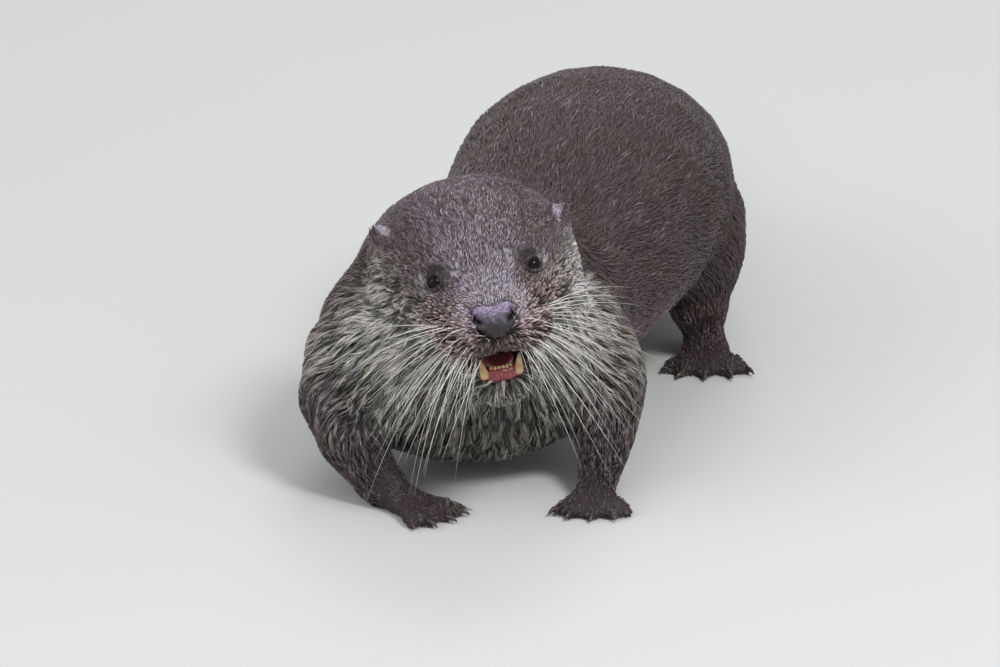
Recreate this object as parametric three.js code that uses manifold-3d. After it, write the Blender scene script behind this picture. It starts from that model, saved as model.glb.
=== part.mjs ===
// Eurasian otter (Lutra lutra), an adult at life size, standing crouched over its forefeet.
// Millimetres, +Z up. The otter faces -Y and its own left side is on +X. The origin is on the
// floor, under the middle of the whole animal. Every size is that of the coat's outer surface.
import * as THREE from 'three';
import { mergeVertices } from 'three/addons/utils/BufferGeometryUtils.js';
import Module from 'manifold-3d';

const wasm = await Module();
wasm.setup();

// ---------------------------------------------------------------- driving dimensions
const CUT_GAP = 0.36;          // width of the thin cuts that part one node from the next
const SOLE_DEPTH = 1.2;        // how far soles and tail are pressed flat against the floor

// The head in its own frame: origin mid skull, nose towards -Y.
const HEAD = { x: -10.2, y: 46, z: 122, rollDeg: -9, pitchDeg: -2.5, yawDeg: 5.5 };
const NOSE = { y: -65.5, z: -8, halfWidth: 12, halfHeight: 9.6, halfDepth: 6.5 };
const EYE = { x: 25.2, y: -33, z: 10, radius: 5.2 };
const EAR = { x: 48, y: 21, halfWidth: 7.8, halfHeight: 8.8, halfThickness: 3.2, z: { left: 18, right: 25.5 } };
const MOUTH = { y: -46, z: -32, halfWidth: 14, halfLength: 30, halfHeight: 5.4 };
const TONGUE = { y: -35, z: -36, halfWidth: 8, halfLength: 16, halfHeight: 3.2 };
const CANINE = { x: 8.9, y: -47, z: -39, length: 10, radius: 2.1, leanDeg: 9 };

// The hips: the hind limbs are laid out from here, turned with the loins.
const HIPS = { x: 51, y: 290, turnDeg: -15 };

const FOREFOOT = { length: 50, halfWidth: 15, halfHeight: 9, toeLength: 24, claw: 5.5 };
const HINDFOOT = { length: 78, halfWidth: 17, halfHeight: 10, toeLength: 30, claw: 5.5 };
const TOE_FAN_DEG = 17;        // angle between neighbouring toes
const TOE_COUNT = 5;
const TOE_RADIUS = 4.9;

// ---------------------------------------------------------------- small helpers
const radians = THREE.MathUtils.degToRad;
const point = (x, y, z) => new THREE.Vector3(x, y, z);

// Turns a closed three.js geometry into a solid that can be joined and cut.
function toSolid(geometry) {
  const bare = geometry.clone();
  bare.deleteAttribute('normal');
  bare.deleteAttribute('uv');
  const welded = mergeVertices(bare, 1e-4);
  return new wasm.Manifold(new wasm.Mesh({
    numProp: 3,
    vertProperties: new Float32Array(welded.attributes.position.array),
    triVerts: new Uint32Array(welded.index.array),
  }));
}

// Turns a solid back into a three.js geometry.
function toGeometry(solid) {
  const mesh = solid.getMesh();
  const geometry = new THREE.BufferGeometry();
  geometry.setAttribute('position', new THREE.BufferAttribute(new Float32Array(mesh.vertProperties), 3));
  geometry.setIndex(new THREE.BufferAttribute(new Uint32Array(mesh.triVerts), 1));
  geometry.computeVertexNormals();
  return geometry;
}

// A smooth body over oval sections: each station is { at, wide, tall } with half sizes, and the
// two ends are closed by round caps that take the given share of the length.
function loft(stations, options = {}) {
  const { around = 20, along = 18, startCap = 0.12, endCap = 0.12, up = point(0, 0, 1) } = options;
  const line = new THREE.CatmullRomCurve3(stations.map((s) => s.at));
  const sizes = new THREE.CatmullRomCurve3(stations.map((s) => point(s.wide, s.tall, 0)));
  const geometry = new THREE.SphereGeometry(1, around, along);
  const places = geometry.attributes.position;
  const v = new THREE.Vector3();
  for (let i = 0; i < places.count; i += 1) {
    v.fromBufferAttribute(places, i);
    const share = (1 - v.y) / 2;
    const reach = Math.hypot(v.x, v.z);
    const round = (edge, cap) => Math.sqrt(Math.max(0, 1 - Math.max(0, 1 - edge / cap) ** 2));
    const fullness = reach < 1e-6 ? 0 : round(share, startCap) * round(1 - share, endCap) / reach;
    const centre = line.getPoint(share);
    const ahead = line.getTangent(share);
    const side = new THREE.Vector3().crossVectors(ahead, up).normalize();
    const top = new THREE.Vector3().crossVectors(side, ahead);
    const size = sizes.getPoint(share);
    centre.addScaledVector(side, v.x * fullness * size.x).addScaledVector(top, v.z * fullness * size.y);
    places.setXYZ(i, centre.x, centre.y, centre.z);
  }
  const solid = toSolid(geometry);
  if (solid.volume() > 0) return solid;
  geometry.index.array.reverse();
  return toSolid(geometry);
}

// An egg-shaped mass with the given half sizes, turned by Euler angles in degrees.
function ellipsoid(at, half, turnDeg = [0, 0, 0], around = 12, along = 8) {
  const geometry = new THREE.SphereGeometry(1, around, along);
  geometry.rotateX(Math.PI / 2);
  geometry.scale(half[0], half[1], half[2]);
  const turn = new THREE.Euler(...turnDeg.map(radians));
  geometry.applyMatrix4(new THREE.Matrix4().makeRotationFromEuler(turn).setPosition(...at));
  return toSolid(geometry);
}

// A convex outline moved outwards by a small step, each edge parallel to where it was.
function grownOutline(corners, step) {
  const outline = THREE.ShapeUtils.isClockWise(corners) ? [...corners].reverse() : corners;
  return outline.map((corner, i) => {
    const before = outline[(i + outline.length - 1) % outline.length];
    const after = outline[(i + 1) % outline.length];
    const one = corner.clone().sub(before).normalize();
    const two = after.clone().sub(corner).normalize();
    const out = new THREE.Vector2(one.y + two.y, -one.x - two.x).normalize();
    return corner.clone().addScaledVector(out, step / Math.sqrt((1 + one.dot(two)) / 2));
  });
}

// A prism over a convex outline. 'side' outlines are (y, z) run along X, 'front'
// outlines are (x, z) run along Y, and 'plan' outlines are (x, y) run along Z.
function prism(kind, outline, from, to, step = 0) {
  const corners = grownOutline(outline.map(([a, b]) => new THREE.Vector2(a, b)), step);
  const geometry = new THREE.ExtrudeGeometry(new THREE.Shape(corners), {
    depth: to - from + 2 * step, bevelEnabled: false,
  });
  geometry.translate(0, 0, from - step);
  const axes = {
    side: new THREE.Matrix4().set(0, 0, 1, 0, 1, 0, 0, 0, 0, 1, 0, 0, 0, 0, 0, 1),
    front: new THREE.Matrix4().set(-1, 0, 0, 0, 0, 0, 1, 0, 0, 1, 0, 0, 0, 0, 0, 1),
    plan: new THREE.Matrix4(),
  };
  if (kind === 'front') geometry.scale(-1, 1, 1);
  geometry.applyMatrix4(axes[kind]);
  const solid = toSolid(geometry);
  if (solid.volume() > 0) return solid;
  geometry.index ??= new THREE.BufferAttribute(
    new Uint32Array([...Array(geometry.attributes.position.count).keys()]), 1);
  geometry.index.array.reverse();
  return toSolid(geometry);
}

function rotated(solid, matrix) {
  const geometry = toGeometry(solid);
  geometry.applyMatrix4(matrix);
  return toSolid(geometry);
}

const joined = (solids) => solids.reduce((all, one) => all.add(one));

// ---------------------------------------------------------------- head
const headFrame = new THREE.Matrix4().makeRotationFromEuler(new THREE.Euler(
  radians(HEAD.pitchDeg), radians(HEAD.rollDeg), radians(HEAD.yawDeg), 'ZXY',
)).setPosition(HEAD.x, HEAD.y, HEAD.z);

const headStation = (y, z, wide, tall, x = 0) => ({ at: point(x, y, z), wide, tall });

function skull() {
  return loft([
    headStation(76, -12, 55, 45, -4),
    headStation(52, -6, 58, 48.5, -3),
    headStation(30, -4, 58, 47.5, -1.5),
    headStation(8, -5, 54, 43),
    headStation(-14, -6, 47, 36),
    headStation(-32, -8, 38, 29),
    headStation(-47, -10, 29, 21),
    headStation(-59, -11, 23, 16),
    headStation(-67, -11, 17, 11),
  ], { around: 18, along: 16, startCap: 0.1, endCap: 0.1 });
}

function jaw() {
  return loft([
    headStation(40, -34, 42, 20),
    headStation(14, -39, 38, 18),
    headStation(-10, -43, 29, 15),
    headStation(-30, -47.5, 21, 14),
    headStation(-44, -49.5, 16, 12.5),
    headStation(-54, -48.5, 13, 10.5),
  ], { around: 12, along: 8, startCap: 0.2, endCap: 0.18 });
}

function sides(make) {
  return [-1, 1].map(make);
}

const whiskerPads = sides((s) => ellipsoid([s * 15.5, -51, -14.5], [18.5, 17, 14.3], [0, 0, s * 12], 10, 7));
const cheeks = sides((s) => ellipsoid([s * 33, 24, -22], [24, 36, 27], [0, s * -8, s * 14], 10, 7));
const browRidges = sides((s) => ellipsoid([s * 20, -22, 15], [13, 17, 8], [14, s * 18, s * 20], 9, 6));

const nose = (grow) => ellipsoid([0, NOSE.y, NOSE.z],
  [NOSE.halfWidth + grow, NOSE.halfDepth + grow, NOSE.halfHeight + grow], [-10, 0, 0], 14, 8);
const eye = (s, grow) => ellipsoid([s * EYE.x, EYE.y, EYE.z],
  [EYE.radius + grow, EYE.radius + grow, EYE.radius + grow], [0, 0, 0], 10, 6);
const ear = (s, grow) => ellipsoid([s * EAR.x, EAR.y, s < 0 ? EAR.z.right : EAR.z.left],
  [EAR.halfWidth + grow, EAR.halfThickness + grow, EAR.halfHeight + grow], [-12, s * 42, s * -16], 10, 6);
const mouth = ellipsoid([0, MOUTH.y, MOUTH.z],
  [MOUTH.halfWidth, MOUTH.halfLength, MOUTH.halfHeight], [4, 0, 0], 14, 6);
const tongue = (grow) => ellipsoid([0, TONGUE.y, TONGUE.z],
  [TONGUE.halfWidth + grow, TONGUE.halfLength + grow, TONGUE.halfHeight + grow], [6, 0, 0], 10, 6);

function canine(s) {
  const geometry = new THREE.ConeGeometry(CANINE.radius, CANINE.length, 8);
  geometry.rotateX(Math.PI / 2);
  geometry.rotateY(radians(s * CANINE.leanDeg));
  geometry.translate(s * CANINE.x, CANINE.y, CANINE.z + CANINE.length / 2);
  return toSolid(geometry);
}

const inHead = (solid) => rotated(solid, headFrame);

// ---------------------------------------------------------------- trunk, neck and tail
const station = (x, y, z, wide, tall) => ({ at: point(x, y, z), wide, tall });

const neckBody = () => loft([
  station(-11, 52, 98, 46, 42),
  station(-12, 80, 102, 58, 46),
  station(-13, 108, 97, 68, 55),
  station(-8, 142, 91.5, 70, 57.5),
  station(4, 178, 85.5, 66, 58.5),
], { around: 18, along: 8, startCap: 0.2, endCap: 0.2 });

const trunkBody = () => loft([
  station(-15, 28, 52, 58, 38),
  station(-17, 70, 61, 80, 56),
  station(-12, 120, 71, 86, 62),
  station(19, 176, 83, 70, 64),
  station(39, 232, 92, 76, 69),
  station(51, 290, 93, 81, 70),
  station(60, 350, 86, 74, 63),
  station(70, 410, 68, 62, 54),
  station(79, 458, 51, 46, 41),
  station(86, 505, 36, 32, 29),
  station(92, 545, 26, 24, 22),
], { around: 20, along: 22, startCap: 0.09, endCap: 0.06 });

const tailBody = () => loft([
  station(83, 470, 45, 36, 33),
  station(90, 520, 31, 28, 25),
  station(97, 580, 19.5, 21, 19),
  station(92, 650, 16, 17.5, 16),
  station(76, 720, 12.5, 13.5, 13),
  station(54, 782, 8, 8.5, 8.6),
], { around: 12, along: 16, startCap: 0.12, endCap: 0.16 });

// ---------------------------------------------------------------- limbs
// A foot lies from its heel or wrist towards its toes: a palm, five webbed toes and their claws.
function foot(size, heel, headingDeg) {
  const ballAt = size.length - size.toeLength;
  const palm = loft([
    { at: point(0, 6, 10), wide: size.halfWidth * 0.62, tall: size.halfHeight },
    { at: point(0, -ballAt * 0.45, 8), wide: size.halfWidth * 0.78, tall: size.halfHeight * 0.9 },
    { at: point(0, -ballAt, 6), wide: size.halfWidth, tall: size.halfHeight * 0.72 },
    { at: point(0, -ballAt - size.toeLength * 0.55, 3.4), wide: size.halfWidth * 1.1, tall: 3.8 },
  ], { around: 8, along: 5, startCap: 0.25, endCap: 0.3 });
  const toes = Array.from({ length: TOE_COUNT }, (_, i) => {
    const place = i - (TOE_COUNT - 1) / 2;
    const turn = radians(place * TOE_FAN_DEG);
    const reach = size.toeLength * (1 - 0.05 * place * place);
    const root = point(place * size.halfWidth * 0.36, -ballAt + 3, 5.5);
    const out = point(Math.sin(turn), -Math.cos(turn), 0);
    const along = (share, z) => root.clone().addScaledVector(out, reach * share).setZ(z);
    return loft([
      { at: along(0, 5.5), wide: TOE_RADIUS, tall: TOE_RADIUS },
      { at: along(0.45, 6.2), wide: TOE_RADIUS, tall: TOE_RADIUS },
      { at: along(0.9, 4.2), wide: TOE_RADIUS, tall: TOE_RADIUS },
      { at: along(0.9 + size.claw / size.toeLength, 2.6), wide: 1.4, tall: 1.5 },
    ], { around: 5, along: 4, startCap: 0.2, endCap: 0.12 });
  });
  const frame = new THREE.Matrix4().makeRotationZ(radians(headingDeg)).setPosition(heel);
  return rotated(joined([palm, ...toes]), frame);
}

const limb = (points, options) => loft(points.map(([x, y, z, wide, tall]) => station(x, y, z, wide, tall)),
  { around: 11, along: 8, startCap: 0.3, endCap: 0.2, up: point(0, 1, 0), ...options });

const foreLimbs = {
  left: [[38, 112, 82, 34, 36], [54, 92, 54, 27, 34], [57, 68, 31, 18, 22], [53, 48, 15, 14, 12],
    [51, 26, 8, 12, 7]],
  right: [[-72, 108, 84, 34, 36], [-88, 82, 50, 24, 32], [-80, 48, 29, 18, 22], [-64, 28, 15, 14, 12],
    [-48, 14, 8, 12, 7]],
};
const foreFeet = {
  left: foot(FOREFOOT, point(51, 46, 0), -4),
  right: foot(FOREFOOT, point(-62, 27, 0), 50),
};

// Hind limb points are (out from the spine, back along it, height, half sizes).
const hindFrame = new THREE.Matrix4().makeRotationZ(radians(HIPS.turnDeg)).setPosition(HIPS.x, HIPS.y, 0);
const hindLimb = (s) => rotated(joined([
  limb([[s * 20, 56, 98, 36, 44], [s * 44, 30, 78, 33, 50], [s * 58, 2, 56, 24, 38],
    [s * 62, -16, 42, 15, 22]]),
  limb([[s * 59, -8, 44, 20, 24], [s * 60, 14, 28, 17, 19], [s * 58, 36, 15, 12, 12]], { along: 5 }),
]), hindFrame);
const hindFoot = (s) => rotated(foot(HINDFOOT, point(s * 58, 36, 0), s * 13), hindFrame);

// ---------------------------------------------------------------- the whole body, then its cuts
const eyes = sides((s) => inHead(eye(s, 0)));
const ears = sides((s) => inHead(ear(s, 0)));
const nosePad = inHead(nose(0));

function wholeBody() {
  const head = inHead(joined([skull(), jaw(), ...whiskerPads, ...cheeks, ...browRidges])
    .subtract(mouth).add(joined(sides(canine))));
  const body = joined([
    head, neckBody(), trunkBody(), tailBody(),
    limb(foreLimbs.left), limb(foreLimbs.right), foreFeet.left, foreFeet.right,
    ...sides(hindLimb), ...sides(hindFoot),
  ]);
  const hollows = joined([
    inHead(nose(CUT_GAP)),
    inHead(tongue(CUT_GAP)),
    ...sides((s) => inHead(eye(s, CUT_GAP))),
    ...sides((s) => inHead(ear(s, CUT_GAP))),
  ]);
  return body.subtract(hollows);
}

// The body is cut in this order, and each node keeps what lies in its region. Outlines are convex.
// 'side' and 'front' regions are drawn as (along, up) and (across, up), 'plan' ones as (across, along).
const mirrored = (outline, s) => outline.map(([across, other]) => [s * across, other]);
const FLOOR = { outline: [[-400, -300], [400, -300], [400, 1000], [-400, 1000]], top: 400 };
const ANKLE_HEIGHT = 14;
const CUTS = {
  forefootLeft: {
    view: 'plan', outline: [[26, -40], [84, -40], [84, 62], [26, 62]], from: -5, to: ANKLE_HEIGHT,
  },
  forefootRight: {
    view: 'plan', outline: [[-92, 34], [-62, -40], [20, -40], [20, 8], [-50, 52]], from: -5, to: ANKLE_HEIGHT,
  },
  hindfoot: { view: 'plan', outline: [[30, -80], [130, -80], [130, 42], [30, 42]], from: -5, to: 17 },
  forelegLeft: {
    view: 'front', outline: [[34, -5], [140, -5], [140, 92], [62, 92], [34, 34]], from: -20, to: 118,
  },
  forelegRight: {
    view: 'front', outline: [[-66, -5], [-66, 34], [-94, 92], [-170, 92], [-170, -5]], from: -20, to: 118,
  },
  thigh: {
    view: 'front', outline: [[44, -5], [150, -5], [150, 108], [68, 108], [44, 44]], from: -70, to: 78,
  },
  lowerJaw: { view: 'side', outline: [[-80, -90], [-12, -74], [-10, -34], [-80, -30.5]], from: -34, to: 34 },
  head: {
    view: 'side', outline: [[-90, 50], [26, 60], [100, 150], [112, 250], [-90, 250]], from: -140, to: 120,
  },
  neck: { view: 'side', outline: [[0, 66], [46, 72], [146, 118], [160, 250], [0, 250]], from: -140, to: 120 },
};
// Planes across the body, by their distance along it.
const TAIL_TIP_FROM = 690;
const TAIL_MIDDLE_FROM = 585;
const TAIL_BASE_FROM = 482;
const RUMP_FROM = 318;
const LOINS_FROM = 196;

let rest = wholeBody().intersect(prism('plan', FLOOR.outline, SOLE_DEPTH, FLOOR.top));
const lowered = new THREE.Matrix4().makeTranslation(0, 0, -SOLE_DEPTH);

// The largest body of a solid: a cut can leave a sliver thinner than a hair beside it.
function mainBody(solid) {
  return solid.decompose().reduce((one, other) => (other.volume() > one.volume() ? other : one));
}

// Takes the part of the body inside a region, and leaves the thin cut all round it.
function take({ view, outline, from, to }, frame = new THREE.Matrix4()) {
  const region = (step) => rotated(prism(view, outline, from, to, step), frame);
  const piece = mainBody(rest.intersect(region(0)));
  rest = rest.subtract(region(CUT_GAP));
  return piece;
}

// Takes everything behind a plane across the body.
const takeBehind = (from) => take({
  view: 'side', outline: [[from, -20], [900, -20], [900, 260], [from, 260]], from: -140, to: 300,
});
const takeMirrored = (cut, s, frame) => take({ ...cut, outline: mirrored(cut.outline, s) }, frame);

const flesh = {
  forefoot_left: take(CUTS.forefootLeft),
  forefoot_right: take(CUTS.forefootRight),
  hindfoot_right: takeMirrored(CUTS.hindfoot, -1, hindFrame),
  hindfoot_left: takeMirrored(CUTS.hindfoot, 1, hindFrame),
  foreleg_left: take(CUTS.forelegLeft),
  foreleg_right: take(CUTS.forelegRight),
  thigh_right: takeMirrored(CUTS.thigh, -1, hindFrame),
  thigh_left: takeMirrored(CUTS.thigh, 1, hindFrame),
  lower_jaw: take(CUTS.lowerJaw, headFrame),
  head: take(CUTS.head),
  neck: take(CUTS.neck),
  tail_tip: takeBehind(TAIL_TIP_FROM),
  tail_middle: takeBehind(TAIL_MIDDLE_FROM),
  tail_base: takeBehind(TAIL_BASE_FROM),
  rump: takeBehind(RUMP_FROM),
  loins: takeBehind(LOINS_FROM),
};
flesh.chest = mainBody(rest);

const parts = {
  ...flesh,
  nose: nosePad,
  tongue: inHead(tongue(0)),
  eye_right: eyes[0],
  eye_left: eyes[1],
  ear_right: ears[0],
  ear_left: ears[1],
};

// ---------------------------------------------------------------- colours and the scene graph
const finishes = {
  backFur: new THREE.MeshStandardMaterial({ color: 0x55474a, roughness: 0.55, metalness: 0 }),
  throatFur: new THREE.MeshStandardMaterial({ color: 0x9a9088, roughness: 0.6, metalness: 0 }),
  footFur: new THREE.MeshStandardMaterial({ color: 0x4c464d, roughness: 0.55, metalness: 0 }),
  bareNose: new THREE.MeshStandardMaterial({ color: 0x6a5f6b, roughness: 0.4, metalness: 0 }),
  wetEye: new THREE.MeshStandardMaterial({ color: 0x120d0c, roughness: 0.08, metalness: 0 }),
  tongueFlesh: new THREE.MeshStandardMaterial({ color: 0xb06a68, roughness: 0.4, metalness: 0 }),
};
const finishOf = {
  chest: 'throatFur', neck: 'throatFur', lower_jaw: 'throatFur', nose: 'bareNose', tongue: 'tongueFlesh',
  eye_left: 'wetEye', eye_right: 'wetEye', forefoot_left: 'footFur', forefoot_right: 'footFur',
  hindfoot_left: 'footFur', hindfoot_right: 'footFur',
};

const otter = new THREE.Group();
for (const [name, solid] of Object.entries(parts)) {
  const finish = finishes[finishOf[name] ?? 'backFur'].clone();
  const mesh = new THREE.Mesh(toGeometry(rotated(solid, lowered)), finish);
  mesh.name = name;
  otter.add(mesh);
}
const outer = new THREE.Box3().setFromObject(otter);
const middle = outer.getCenter(new THREE.Vector3());
otter.position.set(-middle.x, -middle.y, 0);

export default otter;
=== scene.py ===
"""A life-size, still Eurasian otter: one skin, its wet coat, its eyes, nose, mouth, claws and whiskers."""

import logging
import math
from dataclasses import dataclass, field
from enum import Enum

import bmesh
import bpy
import numpy as np
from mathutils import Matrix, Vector


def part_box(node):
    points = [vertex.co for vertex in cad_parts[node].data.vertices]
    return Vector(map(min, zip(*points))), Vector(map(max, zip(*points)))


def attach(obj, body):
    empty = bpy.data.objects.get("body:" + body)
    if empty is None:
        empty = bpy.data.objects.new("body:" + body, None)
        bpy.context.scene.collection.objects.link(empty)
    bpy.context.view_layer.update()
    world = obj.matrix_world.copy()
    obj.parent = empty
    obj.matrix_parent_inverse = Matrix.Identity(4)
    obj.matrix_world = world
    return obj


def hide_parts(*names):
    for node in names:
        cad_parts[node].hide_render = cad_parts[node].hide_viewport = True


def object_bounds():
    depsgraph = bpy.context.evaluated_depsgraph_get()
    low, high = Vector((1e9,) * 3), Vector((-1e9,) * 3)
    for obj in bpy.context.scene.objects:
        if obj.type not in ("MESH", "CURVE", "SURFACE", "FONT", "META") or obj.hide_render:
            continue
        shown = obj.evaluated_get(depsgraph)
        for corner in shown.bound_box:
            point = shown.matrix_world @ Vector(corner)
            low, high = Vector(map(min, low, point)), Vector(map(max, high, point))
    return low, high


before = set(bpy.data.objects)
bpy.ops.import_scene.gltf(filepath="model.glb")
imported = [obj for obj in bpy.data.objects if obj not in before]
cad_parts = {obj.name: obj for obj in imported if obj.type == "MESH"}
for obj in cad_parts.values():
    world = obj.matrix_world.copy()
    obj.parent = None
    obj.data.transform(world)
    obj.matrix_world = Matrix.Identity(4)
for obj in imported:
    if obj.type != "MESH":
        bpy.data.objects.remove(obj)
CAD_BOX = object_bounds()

Array = np.ndarray
Triple = tuple[float, float, float]
Colour = Triple
Shape = tuple[Array, list[Array]]
Mesh, Object, Material = bpy.types.Mesh, bpy.types.Object, bpy.types.Material
Socket = bpy.types.NodeSocket
Value = Socket | float | Colour
Key = str | int

LOG = logging.getLogger("otter")
MM = 0.001
UP = np.array((0.0, 0.0, 1.0))
BODY = "root"
SIDES = {"left": 1.0, "right": -1.0}
SEED = 20251

FLESH = (
    "head", "neck", "chest", "loins", "rump", "tail_base", "tail_middle", "tail_tip", "lower_jaw",
    *(f"{part}_{side}" for part in ("foreleg", "thigh", "ear", "forefoot", "hindfoot") for side in SIDES),
)
SOCKET_FILLERS = ("eye_left", "eye_right", "nose")
SPINE_NODES = ("neck", "chest", "loins", "rump", "tail_base", "tail_middle", "tail_tip")
FEET = ("forefoot_left", "forefoot_right", "hindfoot_left", "hindfoot_right")


# ---- small shape helpers


def unit(vectors: Array) -> Array:
    """Each vector divided by its own length."""
    return vectors / np.maximum(np.linalg.norm(vectors, axis=-1, keepdims=True), 1e-12)


def ramp(value: Array, low: float, high: float) -> Array:
    """0 below low, 1 above high, and the smooth cubic 3t² - 2t³ between them."""
    t = np.clip((value - low) / (high - low), 0.0, 1.0)
    return t * t * (3.0 - 2.0 * t)


def bell(distance: Array, width: float) -> Array:
    """A bell curve that is 1 at no distance and 1/e at the width."""
    return np.exp(-((distance / width) ** 2))


def across(vectors: Array, normals: Array) -> Array:
    """The part of each vector that lies in the plane of its normal, as a unit vector."""
    return unit(vectors - (vectors * normals).sum(-1, keepdims=True) * normals)


def wander(points: Array, pitch: float, seed: int) -> Array:
    """Smooth noise: the mean of six sine waves of about one pitch, each in a direction of its own.

    Args:
        points: Where it is wanted.
        pitch: The waves' length, in the points' units.
        seed: Picks the waves.
    Returns:
        A number from about -1 to 1 for each point.
    """
    rng = np.random.default_rng(seed)
    waves = unit(rng.normal(size=(6, 3))) * (2 * math.pi / pitch) * rng.uniform(0.6, 1.7, (6, 1))
    phase = rng.uniform(0, 2 * math.pi, 6)
    return np.sin(points @ waves.T + phase).mean(-1) * 1.7


def read_all(parts: bpy.types.bpy_prop_collection, name: str, width: int, kind: type = float) -> Array:
    """One property of all of a mesh's points, edges or triangles.

    Args:
        parts: The points, edges or triangles.
        name: The property.
        width: How many numbers it has.
        kind: Their type.
    Returns:
        A row for each part.
    """
    values = np.empty(len(parts) * width, kind)
    parts.foreach_get(name, values)
    return values.reshape(-1, width)


def triangles_of(mesh: Mesh) -> Array:
    """A mesh's faces as triangles."""
    mesh.calc_loop_triangles()
    return read_all(mesh.loop_triangles, "vertices", 3, np.int32)


def node_surface(name: str) -> tuple[Array, Array]:
    """A CAD node's surface with its loose triangles joined.

    Args:
        name: The CAD node.
    Returns:
        Its points in metres and its triangles.
    """
    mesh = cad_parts[name].data
    points = np.round(read_all(mesh.vertices, "co", 3), 6)
    joined, place = np.unique(points, axis=0, return_inverse=True)
    faces = place.reshape(-1)[triangles_of(mesh)]
    whole = (faces[:, 0] != faces[:, 1]) & (faces[:, 1] != faces[:, 2]) & (faces[:, 2] != faces[:, 0])
    return joined, faces[whole]


def point_normals(points: Array, faces: Array) -> Array:
    """The normal at each point: the sum of its triangles' normals, weighted by their areas.

    Args:
        points: The points.
        faces: The triangles between them.
    Returns:
        A unit vector for each point.
    """
    a, b, c = (points[faces[:, k]] for k in range(3))
    flat = np.cross(b - a, c - a)
    total = np.zeros_like(points)
    for k in range(3):
        for axis in range(3):
            total[:, axis] += np.bincount(faces[:, k], flat[:, axis], len(points))
    return unit(total)


def relaxed(points: Array, edges: Array, rounds: int, share: Array | float) -> Array:
    """Each point moved by a share of the way to the mean of its neighbours, a number of times.

    Args:
        points: The points.
        edges: Pairs of neighbours.
        rounds: How many times.
        share: How far each point goes each time, from 0 to 1.
    Returns:
        The moved points.
    """
    ends = np.concatenate([edges, edges[:, ::-1]])
    count = np.maximum(np.bincount(ends[:, 0], minlength=len(points)), 1)[:, None]
    share = np.broadcast_to(np.asarray(share, float).reshape(-1, 1), (len(points), 1))
    for _ in range(rounds):
        sums = [np.bincount(ends[:, 0], points[ends[:, 1], axis], len(points)) for axis in range(3)]
        points = points + share * (np.stack(sums, 1) / count - points)
    return points


def box_centre(node: str) -> Array:
    """The middle of a CAD node's box, in metres."""
    low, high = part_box(node)
    return (np.array(low) + np.array(high)) / 2


def box_share(node: str, share: Triple) -> Array:
    """The point at these shares of the way through a CAD node's box, in metres."""
    low, high = (np.array(corner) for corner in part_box(node))
    return low + (high - low) * np.array(share)


def new_mesh(name: str, points: Array, faces: Array | list[Array]) -> Mesh:
    """A smooth-shaded mesh from whole arrays.

    Args:
        name: The mesh's name.
        points: The points in metres.
        faces: One array of faces with the same number of corners, or a list of such arrays.
    Returns:
        The mesh.
    """
    groups = faces if isinstance(faces, list) else [faces]
    corners = np.concatenate([g.ravel() for g in groups]).astype(np.int32)
    sizes = np.concatenate([np.full(len(g), g.shape[1]) for g in groups])
    starts = np.concatenate([[0], np.cumsum(sizes)[:-1]]).astype(np.int32)
    mesh = bpy.data.meshes.new(name)
    mesh.vertices.add(len(points))
    mesh.vertices.foreach_set("co", np.ascontiguousarray(points, np.float32).ravel())
    mesh.loops.add(len(corners))
    mesh.loops.foreach_set("vertex_index", corners)
    mesh.polygons.add(len(sizes))
    mesh.polygons.foreach_set("loop_start", starts)
    mesh.polygons.foreach_set("use_smooth", np.ones(len(sizes), bool))
    mesh.update(calc_edges=True)
    return mesh


def give(mesh: Mesh, name: str, values: Array) -> None:
    """Stores one number for each point of a mesh, which materials read by name."""
    layer = mesh.attributes.new(name, "FLOAT", "POINT")
    layer.data.foreach_set("value", np.ascontiguousarray(values, np.float32))


def new_piece(
    mesh: Mesh, material: Material, stands_for: tuple[str, ...] = ()
) -> Object:
    """A finished piece that rides on the otter's one body.

    Args:
        mesh: Its mesh, already in place and with its name.
        material: Its finish.
        stands_for: The CAD nodes that it replaces.
    Returns:
        The object.
    """
    piece = bpy.data.objects.new(mesh.name, mesh)
    bpy.context.scene.collection.objects.link(piece)
    mesh.materials.append(material)
    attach(piece, BODY)
    if stands_for:
        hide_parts(*stands_for)
    LOG.info("%s: %d points, %d faces", mesh.name, len(mesh.vertices), len(mesh.polygons))
    return piece


def closed_rings(rings: int, around: int) -> list[Array]:
    """The faces of a closed shape: rings of points one after another, then a point for each of its two ends.

    Args:
        rings: How many rings.
        around: Points in a ring.
    Returns:
        The quads between the rings, and the triangles that close the ends.
    """
    j = np.arange(around)
    after = (j + 1) % around
    start = np.arange(rings - 1)[:, None] * around
    quads = np.stack([start + around + j, start + around + after, start + after, start + j], -1)
    n, last = rings * around, (rings - 1) * around
    first_end = np.stack([np.full(around, n), j, after], -1)
    other_end = np.stack([np.full(around, n + 1), last + after, last + j], -1)
    return [quads.reshape(-1, 4), np.vstack([first_end, other_end])]


def tube(path: Array, radii: Array, around: int, flat: float = 1.0, up: Array = UP) -> Shape:
    """A closed tapered tube: at each point of a path, a ring of the given radius square to the path.

    Args:
        path: The points that it follows.
        radii: The radius at each of them.
        around: Points in a ring.
        flat: The ring's thickness as a share of its width.
        up: The direction that the ring's thickness points in, as near as the path allows.
    Returns:
        Its points and its faces, with both ends closed.
    """
    forward = unit(np.gradient(path, axis=0))
    side = unit(np.cross(forward, up) + 1e-9)
    over = unit(np.cross(side, forward))
    angle = np.linspace(0, 2 * math.pi, around, endpoint=False)
    ring = np.cos(angle)[None, :, None] * side[:, None] + flat * np.sin(angle)[None, :, None] * over[:, None]
    points = (path[:, None] + radii[:, None, None] * ring).reshape(-1, 3)
    return np.vstack([points, path[:1], path[-1:]]), closed_rings(len(path), around)


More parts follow.
